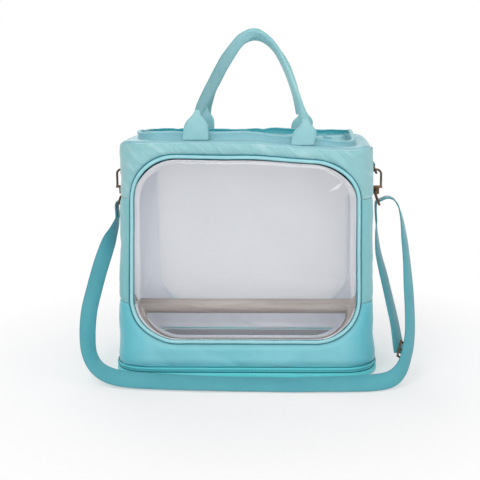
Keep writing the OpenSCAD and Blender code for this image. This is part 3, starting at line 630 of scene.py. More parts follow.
def sewn(distance, depth=0.0012, reach=0.0045):
    """The height of cloth beside a seam: down in the seam, and slightly up next to it."""
    d = max(0.0, distance) / reach
    return -depth * math.exp(-d * d) + 0.45 * depth * math.exp(-(d - 2.0) ** 2)


def between(inner, outer, rings):
    """Loops that grow from one outline to another, closer together at both."""
    loops = []
    for k in range(rings + 1):
        t = k / rings
        t -= 0.12 * math.sin(2 * math.pi * t)
        loops.append([(a[0] + (b[0] - a[0]) * t, a[1] + (b[1] - a[1]) * t) for a, b in zip(inner, outer)])
    return loops


def disc(points, rings, smallest, lay, middle=0.0):
    """Loops that grow from a small one to an outline, each laid on the bag."""
    loops = []
    for k in range(rings + 1):
        share = max(smallest, k / rings)
        loops.append([lay(x * share, middle + (y - middle) * share) for x, y in points])
    return loops


print("an outline has", len(outline(0.3, 0.2, 0.03, (0, 0), 240)), "points")


# %% Cut a pattern and lay it on the bag
def panel(name, flat_loops, lay, cuts, node, materials, body="bag", thick=0.003):
    """A sewn panel from flat loops. cuts are (axis, place, keep the higher side) on the pattern."""
    bm = skin([[Vector((x, y, 0)) for x, y in loop] for loop in flat_loops], round_loops=True)
    for axis, place, keep_high in cuts:
        normal = Vector((1, 0, 0)) if axis == "x" else Vector((0, 1, 0))
        bmesh.ops.bisect_plane(bm, geom=bm.verts[:] + bm.edges[:] + bm.faces[:], dist=1e-6,
                               plane_co=normal * place, plane_no=normal,
                               clear_inner=keep_high, clear_outer=not keep_high)
    for v in bm.verts:
        v.co = lay(v.co.x, v.co.y)
    bmesh.ops.recalc_face_normals(bm, faces=bm.faces[:])
    if sum(f.normal.dot(outward(f.calc_center_median())) for f in bm.faces) < 0:
        bmesh.ops.reverse_faces(bm, faces=bm.faces[:])
    made = piece(name, bm, body, materials)
    finish_with(made, "SOLIDIFY", thickness=thick, offset=-1, use_rim=True, material_offset=1,
                material_offset_rim=0)
    finish_with(made, "SUBSURF", levels=1, render_levels=1)
    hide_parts(node)
    print(name, len(made.data.polygons), "faces")


WINDOW = (0.333, 0.280, 0.066, (0.0, 0.193))
STRIP_LOW, STRIP_HIGH = 0.112, 0.268


def fitted(s, z):
    """For a place on the pattern: its distance from the middle plane, its height, and the top's height."""
    a = abs(s)
    x = a if a <= FLAT else FLAT + R * math.sin(min(1.0, (a - FLAT) / ARC) * math.pi / 2)
    top = TOP - roll_drop(x)
    if z > STRIP_HIGH:
        z = STRIP_HIGH + (z - STRIP_HIGH) * (top - STRIP_HIGH) / (TOP - STRIP_HIGH)
    return x, z, top


def pucker(p, edge):
    """The small waves of cloth that fade out away from a seam."""
    return 0.0005 * noise.noise(p * 75) * math.exp(-edge / 0.012)


def lay_front(s, z):
    """Lays the front's pattern on the wall: calm at the window, and drawn in at each seam."""
    a = abs(s)
    x, z, top = fitted(s, z)
    from_window = away(math.copysign(x, s), z, *WINDOW)
    edge = min(from_window, REACH - a, top - z, z - LOW)
    for seam in (STRIP_LOW, STRIP_HIGH):
        if abs(z - seam) < 0.05 and a > 0.14:
            edge = min(edge, abs(z - seam))
    p = drape(wall(s, z), calm=0.55 * math.exp(-max(0, from_window) / 0.012))
    return p + wall_way(s, z) * (sewn(edge) + pucker(p, edge))


COUNT = 288
flat_window = [(along_wall(x), z) for x, z in outline(*WINDOW, COUNT)]
front_outer = outline(2 * REACH, TOP - LOW, 0, (0, (TOP + LOW) / 2), COUNT)
front_loops = between(flat_window, front_outer, 14)
panel("yoke_upper_cloth", front_loops, lay_front, [("y", STRIP_HIGH, True)], "front_upper_yoke",
      [pale_cloth, lining_cloth])
panel("yoke_lower_cloth", front_loops, lay_front, [("y", STRIP_LOW, False)], "front_lower_yoke",
      [shell_cloth, lining_cloth])
for side, keep in (("left", False), ("right", True)):
    panel(f"strip_{side}_cloth", front_loops, lay_front,
          [("y", STRIP_LOW, True), ("y", STRIP_HIGH, False), ("x", 0.0, keep)],
          f"front_strip_{side}", [side_cloth, lining_cloth])

# %% The side panels and their mesh opening
VENT = (0.092, 0.160, 0.026, (0.0, 0.202))
EDGE = TOP - ROLL
SIDE = D / 2 - R


def lay_side(sign):
    """The function that lays a side's pattern, at the left with -1 and at the right with 1."""
    def lay(y, z):
        edge = min(away(y, z, *VENT), SIDE - abs(y), EDGE - z, z - LOW)
        p = drape((sign * W / 2, y, z))
        return p + Vector((sign, 0, 0)) * (sewn(edge) + pucker(p, max(0, edge)))
    return lay


side_loops = between(outline(*VENT, 192), outline(2 * SIDE, EDGE - LOW, 0, (0, (EDGE + LOW) / 2), 192), 10)
for side, sign in (("left", -1), ("right", 1)):
    panel(f"side_{side}_cloth", side_loops, lay_side(sign), [], f"side_panel_{side}",
          [shell_cloth, lining_cloth])

# %% The back panel
BACK_VENT = (0.318, 0.268, 0.060, (0.0, 0.196))


def lay_back(s, z):
    """Lays the back's pattern on the wall."""
    x, z, top = fitted(s, z)
    edge = min(away(math.copysign(x, s), z, *BACK_VENT), REACH - abs(s), top - z, z - LOW)
    p = drape(wall(s, z, back=True))
    return p + wall_way(s, z, back=True) * (sewn(edge) + pucker(p, max(0, edge)))


flat_back = [(along_wall(x), z) for x, z in outline(*BACK_VENT, COUNT)]
panel("back_cloth", between(flat_back, front_outer, 14), lay_back, [], "back_panel",
      [shell_cloth, lining_cloth])

# %% The deck round the lid's opening
OPENING = (0.300, 0.152, 0.026, (0.0, 0.0))
ROLL_ARC = ROLL * math.pi / 2
DECK_FLAT = W / 2 - ROLL


def lay_deck(a, y):
    """Lays the deck's pattern flat on the top and round over its two ends."""
    far = abs(a)
    if far <= DECK_FLAT:
        x, z = far, TOP
    else:
        turn = min(1.0, (far - DECK_FLAT) / ROLL_ARC) * math.pi / 2
        x, z = DECK_FLAT + ROLL * math.sin(turn), TOP - ROLL * (1 - math.cos(turn))
    limit = D / 2 if x <= FLAT else SIDE + math.sqrt(max(0.0, R * R - (x - FLAT) ** 2))
    if far > OPENING[0] / 2:
        share = ease(OPENING[0] / 2, FLAT + 0.01, far)
        y = y * ((1 - share) + share * limit / (D / 2)) if limit < D / 2 else y
    y = max(-limit, min(limit, y))
    edge = min(away(math.copysign(x, a), y, *OPENING), limit - abs(y), DECK_FLAT + ROLL_ARC - far)
    return drape((math.copysign(x, a), y, z)) + Vector((0, 0, 1)) * sewn(edge, 0.0009)


deck_outer = outline(2 * (DECK_FLAT + ROLL_ARC), D, 0, (0, 0), 240)
panel("deck_cloth", between(outline(*OPENING, 240), deck_outer, 10), lay_deck, [], "top_deck",
      [rim_cloth, lining_cloth])

# %% [markdown]
# ## Piping, clear window and mesh
# The window is a clear sheet held in a frame of piping, a cord wrapped in cloth and sewn into
# the seam. It is a tube that follows the same outline as the panels' edge, with a small lump
# where its two ends were joined. The sheet has slow ripples, which is what makes clear film
# look soft instead of like a pane of glass.

# %% The piping round the window
def tube_loops(line, ways, radius, sides=12, flat=1.0):
    """Loops of a round cord along a closed line. ways point out of the surface it lies on."""
    loops, count = [], len(line)
    for i, p in enumerate(line):
        t = (line[(i + 1) % count] - line[i - 1]).normalized()
        n = (ways[i] - ways[i].dot(t) * t).normalized()
        b = t.cross(n)
        r = radius(i / count) if callable(radius) else radius
        loops.append([p + n * r * flat * math.cos(a) + b * r * math.sin(a) for a in turns(sides)])
    return loops


def window_line(inset, out, count=432):
    """A closed line beside the window's edge, inset from it and out of the cloth, and the ways out."""
    spots, ways = [], []
    for x, z in grown(WINDOW, -inset, count):
        s = along_wall(x)
        way = wall_way(s, z)
        spots.append(drape(wall(s, z), calm=0.55) + way * out)
        ways.append(way)
    return spots, ways


def piping_radius(t):
    """The radius of the piping at a share t of its length, with a lump where its ends meet."""
    joint = min(abs(t - 0.012), abs(t - 0.012 + 1))
    return 0.0025 + 0.00035 * math.exp(-(joint / 0.004) ** 2) + 0.00008 * math.sin(t * 330)


spots, ways = window_line(0.0034, 0.0004)
piping = piece("window_piping_cord", skin(tube_loops(spots, ways, piping_radius, flat=0.9), round_loops=True,
                                          round_way=True), "bag", [piping_cloth])
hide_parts("window_piping")
# Painted shade: a thin dark tube just outside the piping and one just inside it, as shade in the seam grooves
# beside it.
for name, inset, out, thick in (("window_seam_shadow", 0.0002, 0.0004, 0.0009),
                                ("window_inner_seam_shadow", 0.0060, -0.0008, 0.0007)):
    spots, ways = window_line(inset, out)
    seam = piece(name, skin(tube_loops(spots, ways, thick, sides=8), round_loops=True, round_way=True), "bag",
                 [seam_shade_cloth])
print("piping", len(piping.data.polygons), "faces, and a dark seam on each side of it")

# %% Clear film
FILM_IN, SHEET_THICK = 0.0016, 0.0006
film, n = new_material("clear_film")
place = n.place()
ripple = n.noise(place, 11.0, detail=1.5, distortion=1.0)
haze = n.noise(place, 40.0, detail=3.0)
shadow = n.add("ShaderNodeLightPath").outputs["Is Shadow Ray"]
n.surface({"Base Color": (0.975, 0.985, 0.995, 1), "IOR": 1.45, "Transmission Weight": 1.0,
           "Normal": n.bump(0.35, 0.0035, ripple), "Roughness": n.math("MULTIPLY", haze, 0.07),
           "Alpha": n.math("SUBTRACT", 1.0, n.math("MULTIPLY", shadow, 0.93))})


def lay_film(x, z):
    """Lays the film on the wall, a little inside the cloth."""
    s = along_wall(x)
    return drape(wall(s, z), calm=0.75) - wall_way(s, z) * FILM_IN


film_bm = skin(disc(grown(WINDOW, -0.0045, 240), 14, 0.02, lay_film, WINDOW[3][1]), round_loops=True)
near = [e for e in film_bm.edges if e.is_boundary and e.verts[0].co.x ** 2 < 0.0004]
bmesh.ops.holes_fill(film_bm, edges=near, sides=0)
window_film = piece("window_film", film_bm, "bag", [film])
finish_with(window_film, "SOLIDIFY", thickness=SHEET_THICK, offset=0)
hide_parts("front_window")
print("film", len(window_film.data.polygons), "faces")

# %% Net for the vents
net, n = new_material("vent_net")
place = n.place()
parts = n.add("ShaderNodeSeparateXYZ", {0: place}).outputs
flatways = n.math("ADD", parts[0], parts[1])
NET_PITCH, THREAD_SHARE = 0.0024, 0.26
rows = []
for way in ("ADD", "SUBTRACT"):
    wave = n.math("SINE", n.math("MULTIPLY", n.math(way, flatways, parts[2]), ROUND / NET_PITCH))
    rows.append(n.math("LESS_THAN", n.math("ABSOLUTE", wave), THREAD_SHARE))
thread = n.math("MAXIMUM", rows[0], rows[1])
cloud = n.call(drift, place, colour=rgb(222, 223, 230), other_colour=rgb(232, 233, 238), size=0.06)["Colour"]
n.surface({"Base Color": cloud, "Roughness": 0.7, "Normal": n.bump(0.5, 0.0003, thread),
           "Alpha": n.math("ADD", 0.16, n.math("MULTIPLY", thread, 0.84))})


def vent_sheet(name, shape, lay, node):
    """A sheet of net behind an opening, 2 mm larger all round."""
    loops = disc(grown(shape, 0.002, 120), 10, 0.02, lay, shape[3][1])
    bm = skin(loops, round_loops=True)
    bmesh.ops.contextual_create(bm, geom=[e for e in bm.edges if e.is_boundary
                                          and (e.verts[0].co - loops[0][0]).length < 0.02])
    made = piece(name, bm, "bag", [net])
    finish_with(made, "SOLIDIFY", thickness=SHEET_THICK, offset=0)
    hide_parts(node)


NET_IN = 0.0012
vent_sheet("back_net", BACK_VENT,
           lambda x, z: drape(wall(along_wall(x), z, back=True)) - Vector((0, NET_IN, 0)), "back_mesh")
for side, sign in (("left", -1), ("right", 1)):
    vent_sheet(f"side_{side}_net", VENT,
               lambda y, z, sign=sign: drape((sign * W / 2, y, z)) - Vector((sign * NET_IN, 0, 0)),
               f"side_mesh_{side}")
print("nets done")

# %% [markdown]
# ## Rows of small things
# Stitches and zip teeth are the same few shapes, repeated hundreds of times along a line. One
# helper copies a small shape to each place along a line, turned to follow it, into one mesh.

# %% Repeat a small shape along a line
def row(name, body, line, ways, pitch, make, material, closed=False):
    """One mesh of small shapes every pitch along a line. make(bm, matrix, index) adds one of them."""
    bm = bmesh.new()
    points = list(line) + ([line[0]] if closed else [])
    sides = list(ways) + ([ways[0]] if closed else [])
    walked, next_at, index = 0.0, pitch / 2, 0
    for i in range(len(points) - 1):
        step = points[i + 1] - points[i]
        while step.length > 0 and next_at <= walked + step.length:
            t = (next_at - walked) / step.length
            p = points[i].lerp(points[i + 1], t)
            x = step.normalized()
            z = sides[i].lerp(sides[i + 1], t)
            z = (z - z.dot(x) * x).normalized()
            y = z.cross(x)
            turn = Matrix(((x.x, y.x, z.x, p.x), (x.y, y.y, z.y, p.y), (x.z, y.z, z.z, p.z), (0, 0, 0, 1)))
            make(bm, turn, index)
            index += 1
            next_at += pitch
        walked += step.length
    made = piece(name, bm, body, [material])
    return made


STITCH_PITCH, TOOTH_PITCH, COIL_PITCH = 0.0032, 0.0018, 0.0020


def stitch(bm, turn, index):
    """A long bead of thread, tilted one way and then the other."""
    made = bmesh.ops.create_icosphere(bm, subdivisions=1, radius=1)
    tilt = Matrix.Rotation(0.06 * (1 if index % 2 else -1), 4, "Z")
    bmesh.ops.transform(bm, matrix=turn @ tilt @ Matrix.Diagonal((0.00125, 0.00032, 0.00028, 1)),
                        verts=made["verts"])


thread_pale = cloth("thread_pale", (176, 222, 226), (160, 212, 218), dent=0.01, creases=0.0, rough=0.6)
spots, ways = window_line(-0.0032, 0.0)
row("window_stitches", "bag", [p + w * 0.0002 for p, w in zip(spots, ways)], ways, STITCH_PITCH,
    stitch, thread_pale, closed=True)
for label, at, seam in (("upper", STRIP_HIGH, 0.0028), ("lower", STRIP_LOW, -0.0028)):
    for side, sign in (("left", -1), ("right", 1)):
        steps = (sign * (along_wall(WINDOW[0] / 2) + 0.004 + k * 0.003) for k in range(14))
        steps = [s for s in steps if abs(s) < REACH - 0.003]
        ways = [wall_way(s, at) for s in steps]
        line = [lay_front(s, at + seam) + way * 0.0001 for s, way in zip(steps, ways)]
        row(f"strip_{label}_{side}_stitches", "bag", line, ways, STITCH_PITCH, stitch, thread_pale)
print("stitches round the window and on the strips")

# %% [markdown]
# ## The standing rim and the lid
# The top has a low wall of cloth round a sunk, zipped lid. The wall stands by itself but it is
# soft: it is tallest in the middle of the front and slumps at the right. It is a skin of loops
# round the outline, from its sewn foot up over its bound edge and down the inside.

# %% The rim
RIM = (0.314, 0.166, 0.033, (0, 0))


def rim_height(x, y):
    """How tall the rim stands: most in the middle of the front, less at its right."""
    here = Vector((x, y, 0))
    front = ease(0.03, -0.05, y)
    tall = 0.0085 + 0.0040 * front - 0.0030 * ease(0.085, 0.135, x) * front - 0.001 * ease(0.1, 0.14, abs(x))
    return tall + 0.0007 * folds(here, 0.03, 3.3) + 0.0004 * folds(here, 0.012, 9.3)


def faces_in(face):
    """Whether a face of an upright wall looks to the inside of the bag."""
    return face.normal.x * face.center.x + face.normal.y * face.center.y < -0.02


# Each point is how far out of the rim's middle it is, and its share of the rim's height.
RIM_PROFILE = [(0.0042, 0.0), (0.0026, 0.0006), (0.0021, 0.12), (0.0019, 0.45), (0.0021, 0.66),
               (0.0028, 0.74), (0.0030, 0.86), (0.0022, 0.96), (0.0, 1.0), (-0.0022, 0.96),
               (-0.0030, 0.86), (-0.0028, 0.74), (-0.0020, 0.66), (-0.0018, 0.4), (-0.0020, 0.1),
               (-0.0036, 0.0)]
rim_loops = []
for out, share in RIM_PROFILE:
    loop = []
    for x, y in grown(RIM, out, 320):
        here = Vector((x, y, 0))
        foot = drape((x, y, TOP))
        edge = Vector((foot.x, foot.y, foot.z - 0.0004 + (rim_height(x, y) + 0.0004) * share))
        loop.append(edge + level_way(here) * (0.0012 * folds(here, 0.06, 1.7) * share))
    rim_loops.append(loop)
rim = piece("rim_cloth", skin(rim_loops, round_loops=True), "bag", [rim_cloth, lid_painted_shade_cloth])
# Painted shade: faces that look inward get the lid's darker cloth, as shade inside the rim.
for face in rim.data.polygons:
    face.material_index = int(faces_in(face))
finish_with(rim, "SUBSURF", levels=1, render_levels=1)
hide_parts("top_rim")
ways = [level_way(p) for p in rim_loops[4]]
row("rim_stitches", "bag", [p + way * 0.0002 for p, way in zip(rim_loops[4], ways)], ways, STITCH_PITCH,
    stitch, thread_pale, closed=True)
print("rim", round(max(p.z for p in rim_loops[8]) * 1000, 1), "mm high at most")

# %% The lid
LID = (0.2992, 0.1512, 0.0256, (0, 0))


def lay_lid(x, y):
    """The lid dips from its zipped edge, and lies in soft folds."""
    p = drape((x, y, TOP))
    edge = max(0.0, -away(x, y, *LID))
    dip = 0.0028 * ease(0.0, 0.05, edge) + 0.0010 * folds(Vector((x, y, 0)), 0.04, 2.6)
    return Vector((p.x, p.y, p.z - dip * (1 if edge > 0 else 0) - 0.0003))


# A small hole is left in the middle, and closed by one face
lid_bm = skin(disc(grown(LID, 0, 240), 12, 0.03, lay_lid), round_loops=True)
bmesh.ops.contextual_create(lid_bm, geom=[e for e in lid_bm.edges
                                          if e.is_boundary and e.verts[0].co.xy.length < 0.05])
bmesh.ops.recalc_face_normals(lid_bm, faces=lid_bm.faces[:])
if sum(f.normal.z for f in lid_bm.faces) < 0:
    bmesh.ops.reverse_faces(lid_bm, faces=lid_bm.faces[:])
lid = piece("lid_painted_shade_cloth", lid_bm, "lid", [lid_painted_shade_cloth, lining_cloth])
finish_with(lid, "SOLIDIFY", thickness=0.0028, offset=-1, material_offset=1)
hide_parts("top_lid")
print("lid", len(lid.data.polygons), "faces")

# %% Zip teeth
zip_nylon, n = new_material("zip_nylon")
tint = n.call(drift, n.place(), colour=rgb(74, 164, 178), other_colour=rgb(92, 178, 190), size=0.02,
              amount=0.6)
n.surface({"Base Color": tint["Colour"], "Roughness": 0.35})


def tooth(bm, turn, index):
    """A small block with three of its edges worn off."""
    made = bmesh.ops.create_cube(bm, size=1)
    bmesh.ops.transform(bm, matrix=turn @ Matrix.Diagonal((0.0011, 0.0022, 0.0012, 1)), verts=made["verts"])
    bmesh.ops.bevel(bm, geom=list(made["verts"][0].link_edges), offset=0.0003, segments=1, profile=0.5,
                    affect="EDGES", material=-1)


def zip_half(grow):
    """The run of one side of the top zip, along the left, the front and the right."""
    loop = grown(OPENING, grow, 400)
    kept = [p for p in loop[len(loop) // 2:] + loop[:len(loop) // 2] if p[1] < 0.049]
    return [drape((x, y, TOP)) + Vector((0, 0, 0.0008)) for x, y in kept]


for name, body, grow, node in (("zip_deck_teeth", "bag", 0.0013, "zip_teeth_deck"),
                               ("zip_lid_teeth", "lid", -0.0015, "zip_teeth_lid")):
    line = zip_half(grow)
    teeth = row(name, body, line, [Vector((0, 0, 1))] * len(line), TOOTH_PITCH, tooth, zip_nylon)
    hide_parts(node)
    print(name, len(teeth.data.polygons), "faces")

# %% [markdown]
# ## The carry handles
# Each handle is one padded strap. Its ends go into two sewn feet, shaped like a bell. The strap
# twists a little: on the left its broad side faces the front, and on the right its edge does.
# Both handles stand up by themselves. The strap is a skin of rounded sections along its path.

# %% A padded strap along a path
def rounded_section(wide, thick, count=20):
    """A flat section with full edges, as a padded strap has, round its own middle."""
    return [(wide / 2 * math.copysign(abs(math.cos(a)) ** 0.55, math.cos(a)),
             thick / 2 * math.copysign(abs(math.sin(a)) ** 0.8, math.sin(a)))
            for a in turns(count, 0.5)]


def padded_strap(stops, spacing=0.003):
    """Loops of a padded strap. Each stop is a point in millimetres and its width, thickness and twist."""
    line, settings = smooth_through([(place, settings) for place, *settings in stops], spacing)
    loops = []
    for i, p in enumerate(line):
        t = (line[min(i + 1, len(line) - 1)] - line[max(i - 1, 0)]).normalized()
        side = Vector((0, 1, 0)).cross(t).normalized()
        wide, thick, twist = settings[i][0] * 0.001, settings[i][1] * 0.001, math.radians(settings[i][2])
        w = side * math.cos(twist) + Vector((0, 1, 0)) * math.sin(twist)
        n = t.cross(w)
        loop = [p + w * x + n * y for x, y in rounded_section(wide, thick)]
        loops.append([q + (q - p).normalized() * (0.0007 * folds(q, 0.022, 2.9)) for q in loop])
    return loops


FRONT_GRIP = [((-66, -96.5, 384), 12, 7, 0), ((-63, -96.5, 395), 13, 6, 0),
              ((-57, -96.5, 407), 15.5, 5.5, 4), ((-49.5, -96, 421), 17, 5.5, 6),
              ((-38.5, -96, 441), 17.5, 5.5, 6), ((-27.5, -95.5, 461), 17, 5.5, 8),
              ((-16, -95.5, 478), 16, 6, 10), ((-5, -95.5, 491), 15.5, 7, 14),
              ((6, -95.5, 499), 14, 8, 22), ((15, -95.5, 501.8), 13, 8.5, 35),
              ((25, -95.5, 498.5), 15, 7, 52), ((35.5, -96, 490.5), 16, 6.5, 60),
              ((45.5, -96, 478.5), 16.5, 6.5, 64), ((54, -96, 464), 17, 6.5, 66),
              ((64.5, -96, 440), 17, 6.5, 66), ((74, -96.5, 414), 16, 7, 62),
              ((81, -96.5, 393), 13, 7.5, 50), ((82.5, -96.5, 384), 12, 7, 30)]
BACK_GRIP = [((-72.5, 96.5, 378), 12, 7, 0), ((-71, 96.5, 394), 12, 6.5, 4), ((-62, 96, 424), 14, 6, 10),
             ((-47, 96, 457), 17, 6, 14), ((-32, 95.5, 481), 16, 6.5, 18), ((-19, 95.5, 494), 15, 7, 24),
             ((-5, 95.5, 501.5), 14, 8, 32), ((9, 95.5, 503), 13.5, 8.5, 40),
             ((23, 95.5, 498), 15, 7, 50), ((38, 95.5, 485), 16, 6.5, 56), ((54, 96, 463), 16.5, 6.5, 60),
             ((64, 96, 439), 16.5, 6.5, 56), ((71, 96, 414), 15, 7, 46), ((76, 96.5, 393), 13, 7.5, 30),
             ((78, 96.5, 380), 12, 7, 10)]
for label, stops in (("front", FRONT_GRIP), ("back", BACK_GRIP)):
    grip = piece(f"handle_{label}_strap", skin(padded_strap(stops), round_loops=True, caps=True),
                 f"{label}_grip", [strap_grip_painted_shade_cloth])
    finish_with(grip, "SUBSURF", levels=1, render_levels=1)
    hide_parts(f"handle_{label}")
    print(grip.name, len(grip.data.polygons), "faces")

# %% The bell feet
# Each row is a height above the deck, how far the foot reaches to its left and right, and its depth,
# all in millimetres.
LEFT_FOOT = [(0, -18.6, 18.6, 3.4), (1.2, -18.7, 18.7, 4.2), (6, -18.2, 18.8, 5.6),
             (12, -17.6, 18.7, 7.2), (18, -16.7, 18.6, 8.4), (22, -15.6, 18.0, 9.0),
             (26, -13.4, 15.9, 9.4), (29, -10.9, 13.8, 9.4), (32, -7.5, 11.8, 9.2), (36, -3.6, 9.8, 9.0),
             (40, -1.2, 8.9, 8.8), (43, 0.2, 9.2, 8.4), (44, 1.4, 8.6, 7.0)]
RIGHT_FOOT = [(0, -15.9, 15.9, 3.4), (1.2, -16.0, 16.3, 4.2), (6, -15.6, 18.0, 5.6),
              (12, -14.8, 20.0, 7.2), (17, -13.8, 20.8, 8.4), (21, -10.9, 20.0, 9.0),
              (25, -6.4, 17.6, 9.4), (28, -3.6, 14.8, 9.4), (31, -1.4, 12.0, 9.2), (35, -0.6, 9.6, 9.0),
              (39, -0.9, 8.0, 8.8), (42, -1.2, 7.2, 8.4), (43, -0.2, 6.2, 7.0)]


def foot_floor(x, y):
    """The height at which a foot starts, just above the cloth of the deck."""
    return drape((x, y * 0.98, TOP)).z + 0.0004


def bell_foot(rows, x, y, seed):
    """Loops of a sewn foot from its bottom up, with its middle at x and y."""
    loops = []
    low = foot_floor(x, y)
    for up, left, right, deep in rows:
        middle, half = (left + right) / 2000, (right - left) / 2000
        loop = []
        for a in turns(40, 0.5):
            across = half * math.copysign(abs(math.cos(a)) ** 0.4, math.cos(a))
            thick = deep / 2000 * math.copysign(abs(math.sin(a)) ** 0.85, math.sin(a))
            q = Vector((x + middle + across, y + thick, low + up * 0.001))
            puff = 0.0009 * folds(q, 0.013, seed) * min(1.0, up / 6) - 0.0007 * crease(q, 0.03, seed)
            loop.append(q + Vector((0, math.copysign(puff, thick), 0)))
        loops.append(loop)
    return loops


def foot_stitches(name, body, rows, x, y):
    """One row of stitches, up one side of the foot, along its bottom and up its other side, on the face away
    from the bag.
    """
    low = foot_floor(x, y)
    sign = math.copysign(1, y)
    path = [(rows[k][1] + 2.2, rows[k][0] + 1.0, rows[k][3]) for k in range(6, 0, -1)]
    path += [(rows[1][1] + 2.2 + j * (rows[1][2] - rows[1][1] - 4.4) / 8, 2.4, rows[1][3])
             for j in range(1, 8)]
    path += [(rows[k][2] - 2.2, rows[k][0] + 1.0, rows[k][3]) for k in range(1, 7)]
    line = [Vector((x + a * 0.001, y + sign * (deep * 0.00046), low + up * 0.001)) for a, up, deep in path]
    row(name, body, line, [Vector((0, sign, 0))] * len(line), 0.003, stitch, thread_pale)


for label, y, places in (("front", -0.0953, ((-0.0697, LEFT_FOOT, 1.1), (0.0816, RIGHT_FOOT, 4.7))),
                         ("back", 0.0953, ((-0.0800, LEFT_FOOT, 7.3), (0.0790, RIGHT_FOOT, 9.9)))):
    feet = bmesh.new()
    for x, rows, seed in places:
        part = skin(bell_foot(rows, x, y, seed), round_loops=True, caps=True)
        holder = bpy.data.meshes.new("foot")
        part.to_mesh(holder)
        part.free()
        feet.from_mesh(holder)
        bpy.data.meshes.remove(holder)
        foot_stitches(f"foot_{label}_{'left' if x < 0 else 'right'}_stitches", f"{label}_grip", rows, x, y)
    made = piece(f"handle_{label}_feet_cloth", feet, f"{label}_grip", [grip_cloth])
    finish_with(made, "SUBSURF", levels=1, render_levels=1)
    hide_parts(f"handle_{label}_feet")
    print(made.name, len(made.data.polygons), "faces")

# %% [markdown]
# ## The base
# The bottom is a shallow tub of a stronger teal. Between the tub and the walls runs a band with a
# zip in it, held by a seam above and one below, each a thin tube painted dark as shade in its
# groove. Both parts are one profile carried round the same rounded rectangle, so the seams stay
# parallel.

# %% Carry a profile round the base
def carried(profile, count=320):
    """Loops round the bag: each point of the profile is how far out and how high."""
    loops = []
    for out, z in profile:
        loop = []
        for x, y in grown(FOOTPRINT, out, count):
            here = Vector((x, y, 0))
            q = Vector((x, y, z))
            q.x += corner_slack(x, y) * ease(-0.02, 0.0, out)
            if out > 0.001:
                q += level_way(here) * (0.0006 * folds(here, 0.045, 3.1) + 0.0003 * folds(here, 0.015, 8.2))
                q.z += 0.0005 * folds(here, 0.07, 5.9) * ease(0.0, 0.006, z)
            loop.append(q)
        loops.append(loop)
    return loops


def shrunk(loop, share, z):
    """A loop drawn in to the middle of the bag, at one height."""
    return [Vector((p.x * share, p.y * share, z)) for p in loop]


BAND = [(-0.003, 0.0185), (-0.0005, 0.0188), (0.0022, 0.0184), (0.0031, 0.0178), (0.0042, 0.0172),
        (0.0047, 0.0160), (0.0049, 0.0142), (0.0047, 0.0124), (0.0042, 0.0112), (0.0031, 0.0105),
        (0.0018, 0.0099), (-0.003, 0.0097)]
TUB = [(-0.035, 0.0), (-0.020, 0.0), (-0.004, 0.0), (0.0010, 0.0), (0.0036, 0.0003), (0.0053, 0.0013),
       (0.0061, 0.0030), (0.0063, 0.0050), (0.0061, 0.0070), (0.0053, 0.0086), (0.0036, 0.0093),
       (0.0018, 0.0096), (-0.003, 0.0094), (-0.0032, 0.0040), (-0.0045, 0.0030), (-0.035, 0.0030)]
band_piece = piece("base_band_cloth", skin(carried(BAND), round_loops=True, round_way=True), "bag",
                   [base_cloth, lining_cloth])
for face in band_piece.data.polygons:
    face.material_index = int(faces_in(face))
finish_with(band_piece, "SUBSURF", levels=1, render_levels=1)
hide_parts("base_zip_band")
tub_loops = carried(TUB)
tub_loops.insert(0, shrunk(tub_loops[0], 0.1, 0.0))
tub_loops.append(shrunk(tub_loops[-1], 0.1, 0.003))
tub = piece("base_tub_cloth", skin(tub_loops, round_loops=True, caps=True), "bag", [base_cloth, lining_cloth])
for face in tub.data.polygons:
    bottom = face.center.z > 0.0025 and abs(face.center.x) < 0.17 and abs(face.center.y) < 0.09
    face.material_index = int(faces_in(face) or bottom)
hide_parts("base_tub")
print("band", len(band_piece.data.polygons), "faces, tub", len(tub.data.polygons), "faces")

# %% Painted shade in the seams above and below the band, and the coil of its zip
SEAM_RADIUS = 0.0008
for name, spot in (("seam_shade_above_band", (0.0040, 0.0183)), ("seam_shade_below_band", (0.0034, 0.0098))):
    line = carried([spot])[0]
    loops = tube_loops(line, [level_way(p) for p in line], SEAM_RADIUS, sides=8)
    piece(name, skin(loops, round_loops=True, round_way=True), "bag", [seam_shade_cloth])
line = carried([(0.0051, 0.0142)], count=480)[0]
row("base_zip_coil", "bag", line, [level_way(p) for p in line], COIL_PITCH, tooth, zip_nylon,
    closed=True)
print("base seams done")

# %% [markdown]
# ## Perch, tray and board
# Inside the bag a wooden perch runs from wall to wall above a shallow plastic tray. The tray lies
# on a stiff board. The tray is thin moulded plastic, so it gets soft edges and a rolled lip.

# %% Wood for the perch
wood, n = new_material("perch_wood")
place = n.place()
along = n.add("ShaderNodeMapping", {"Vector": place, "Scale": (6.0, 90.0, 90.0)}).outputs[0]
grain = n.noise(along, 1.4, detail=6.0, roughness=0.6, distortion=0.6)
along = n.add("ShaderNodeMapping", {"Vector": place, "Scale": (60.0, 900.0, 900.0)}).outputs[0]
pores = n.noise(along, 1.0, detail=3.0)
tone = n.mix(n.ramp(grain, 0.35, 2.6), rgb(174, 164, 159), rgb(142, 129, 122))
tone = n.mix(n.math("MULTIPLY", n.math("GREATER_THAN", pores, 0.62), 0.35), tone, rgb(120, 104, 94))
height = n.math("ADD", grain, n.math("MULTIPLY", pores, 0.5))
n.surface({"Base Color": tone, "Roughness": n.math("ADD", 0.5, n.math("MULTIPLY", grain, 0.2)),
           "Normal": n.bump(0.5, 0.0004, height), "Specular IOR Level": 0.35})
print("material", wood.name)

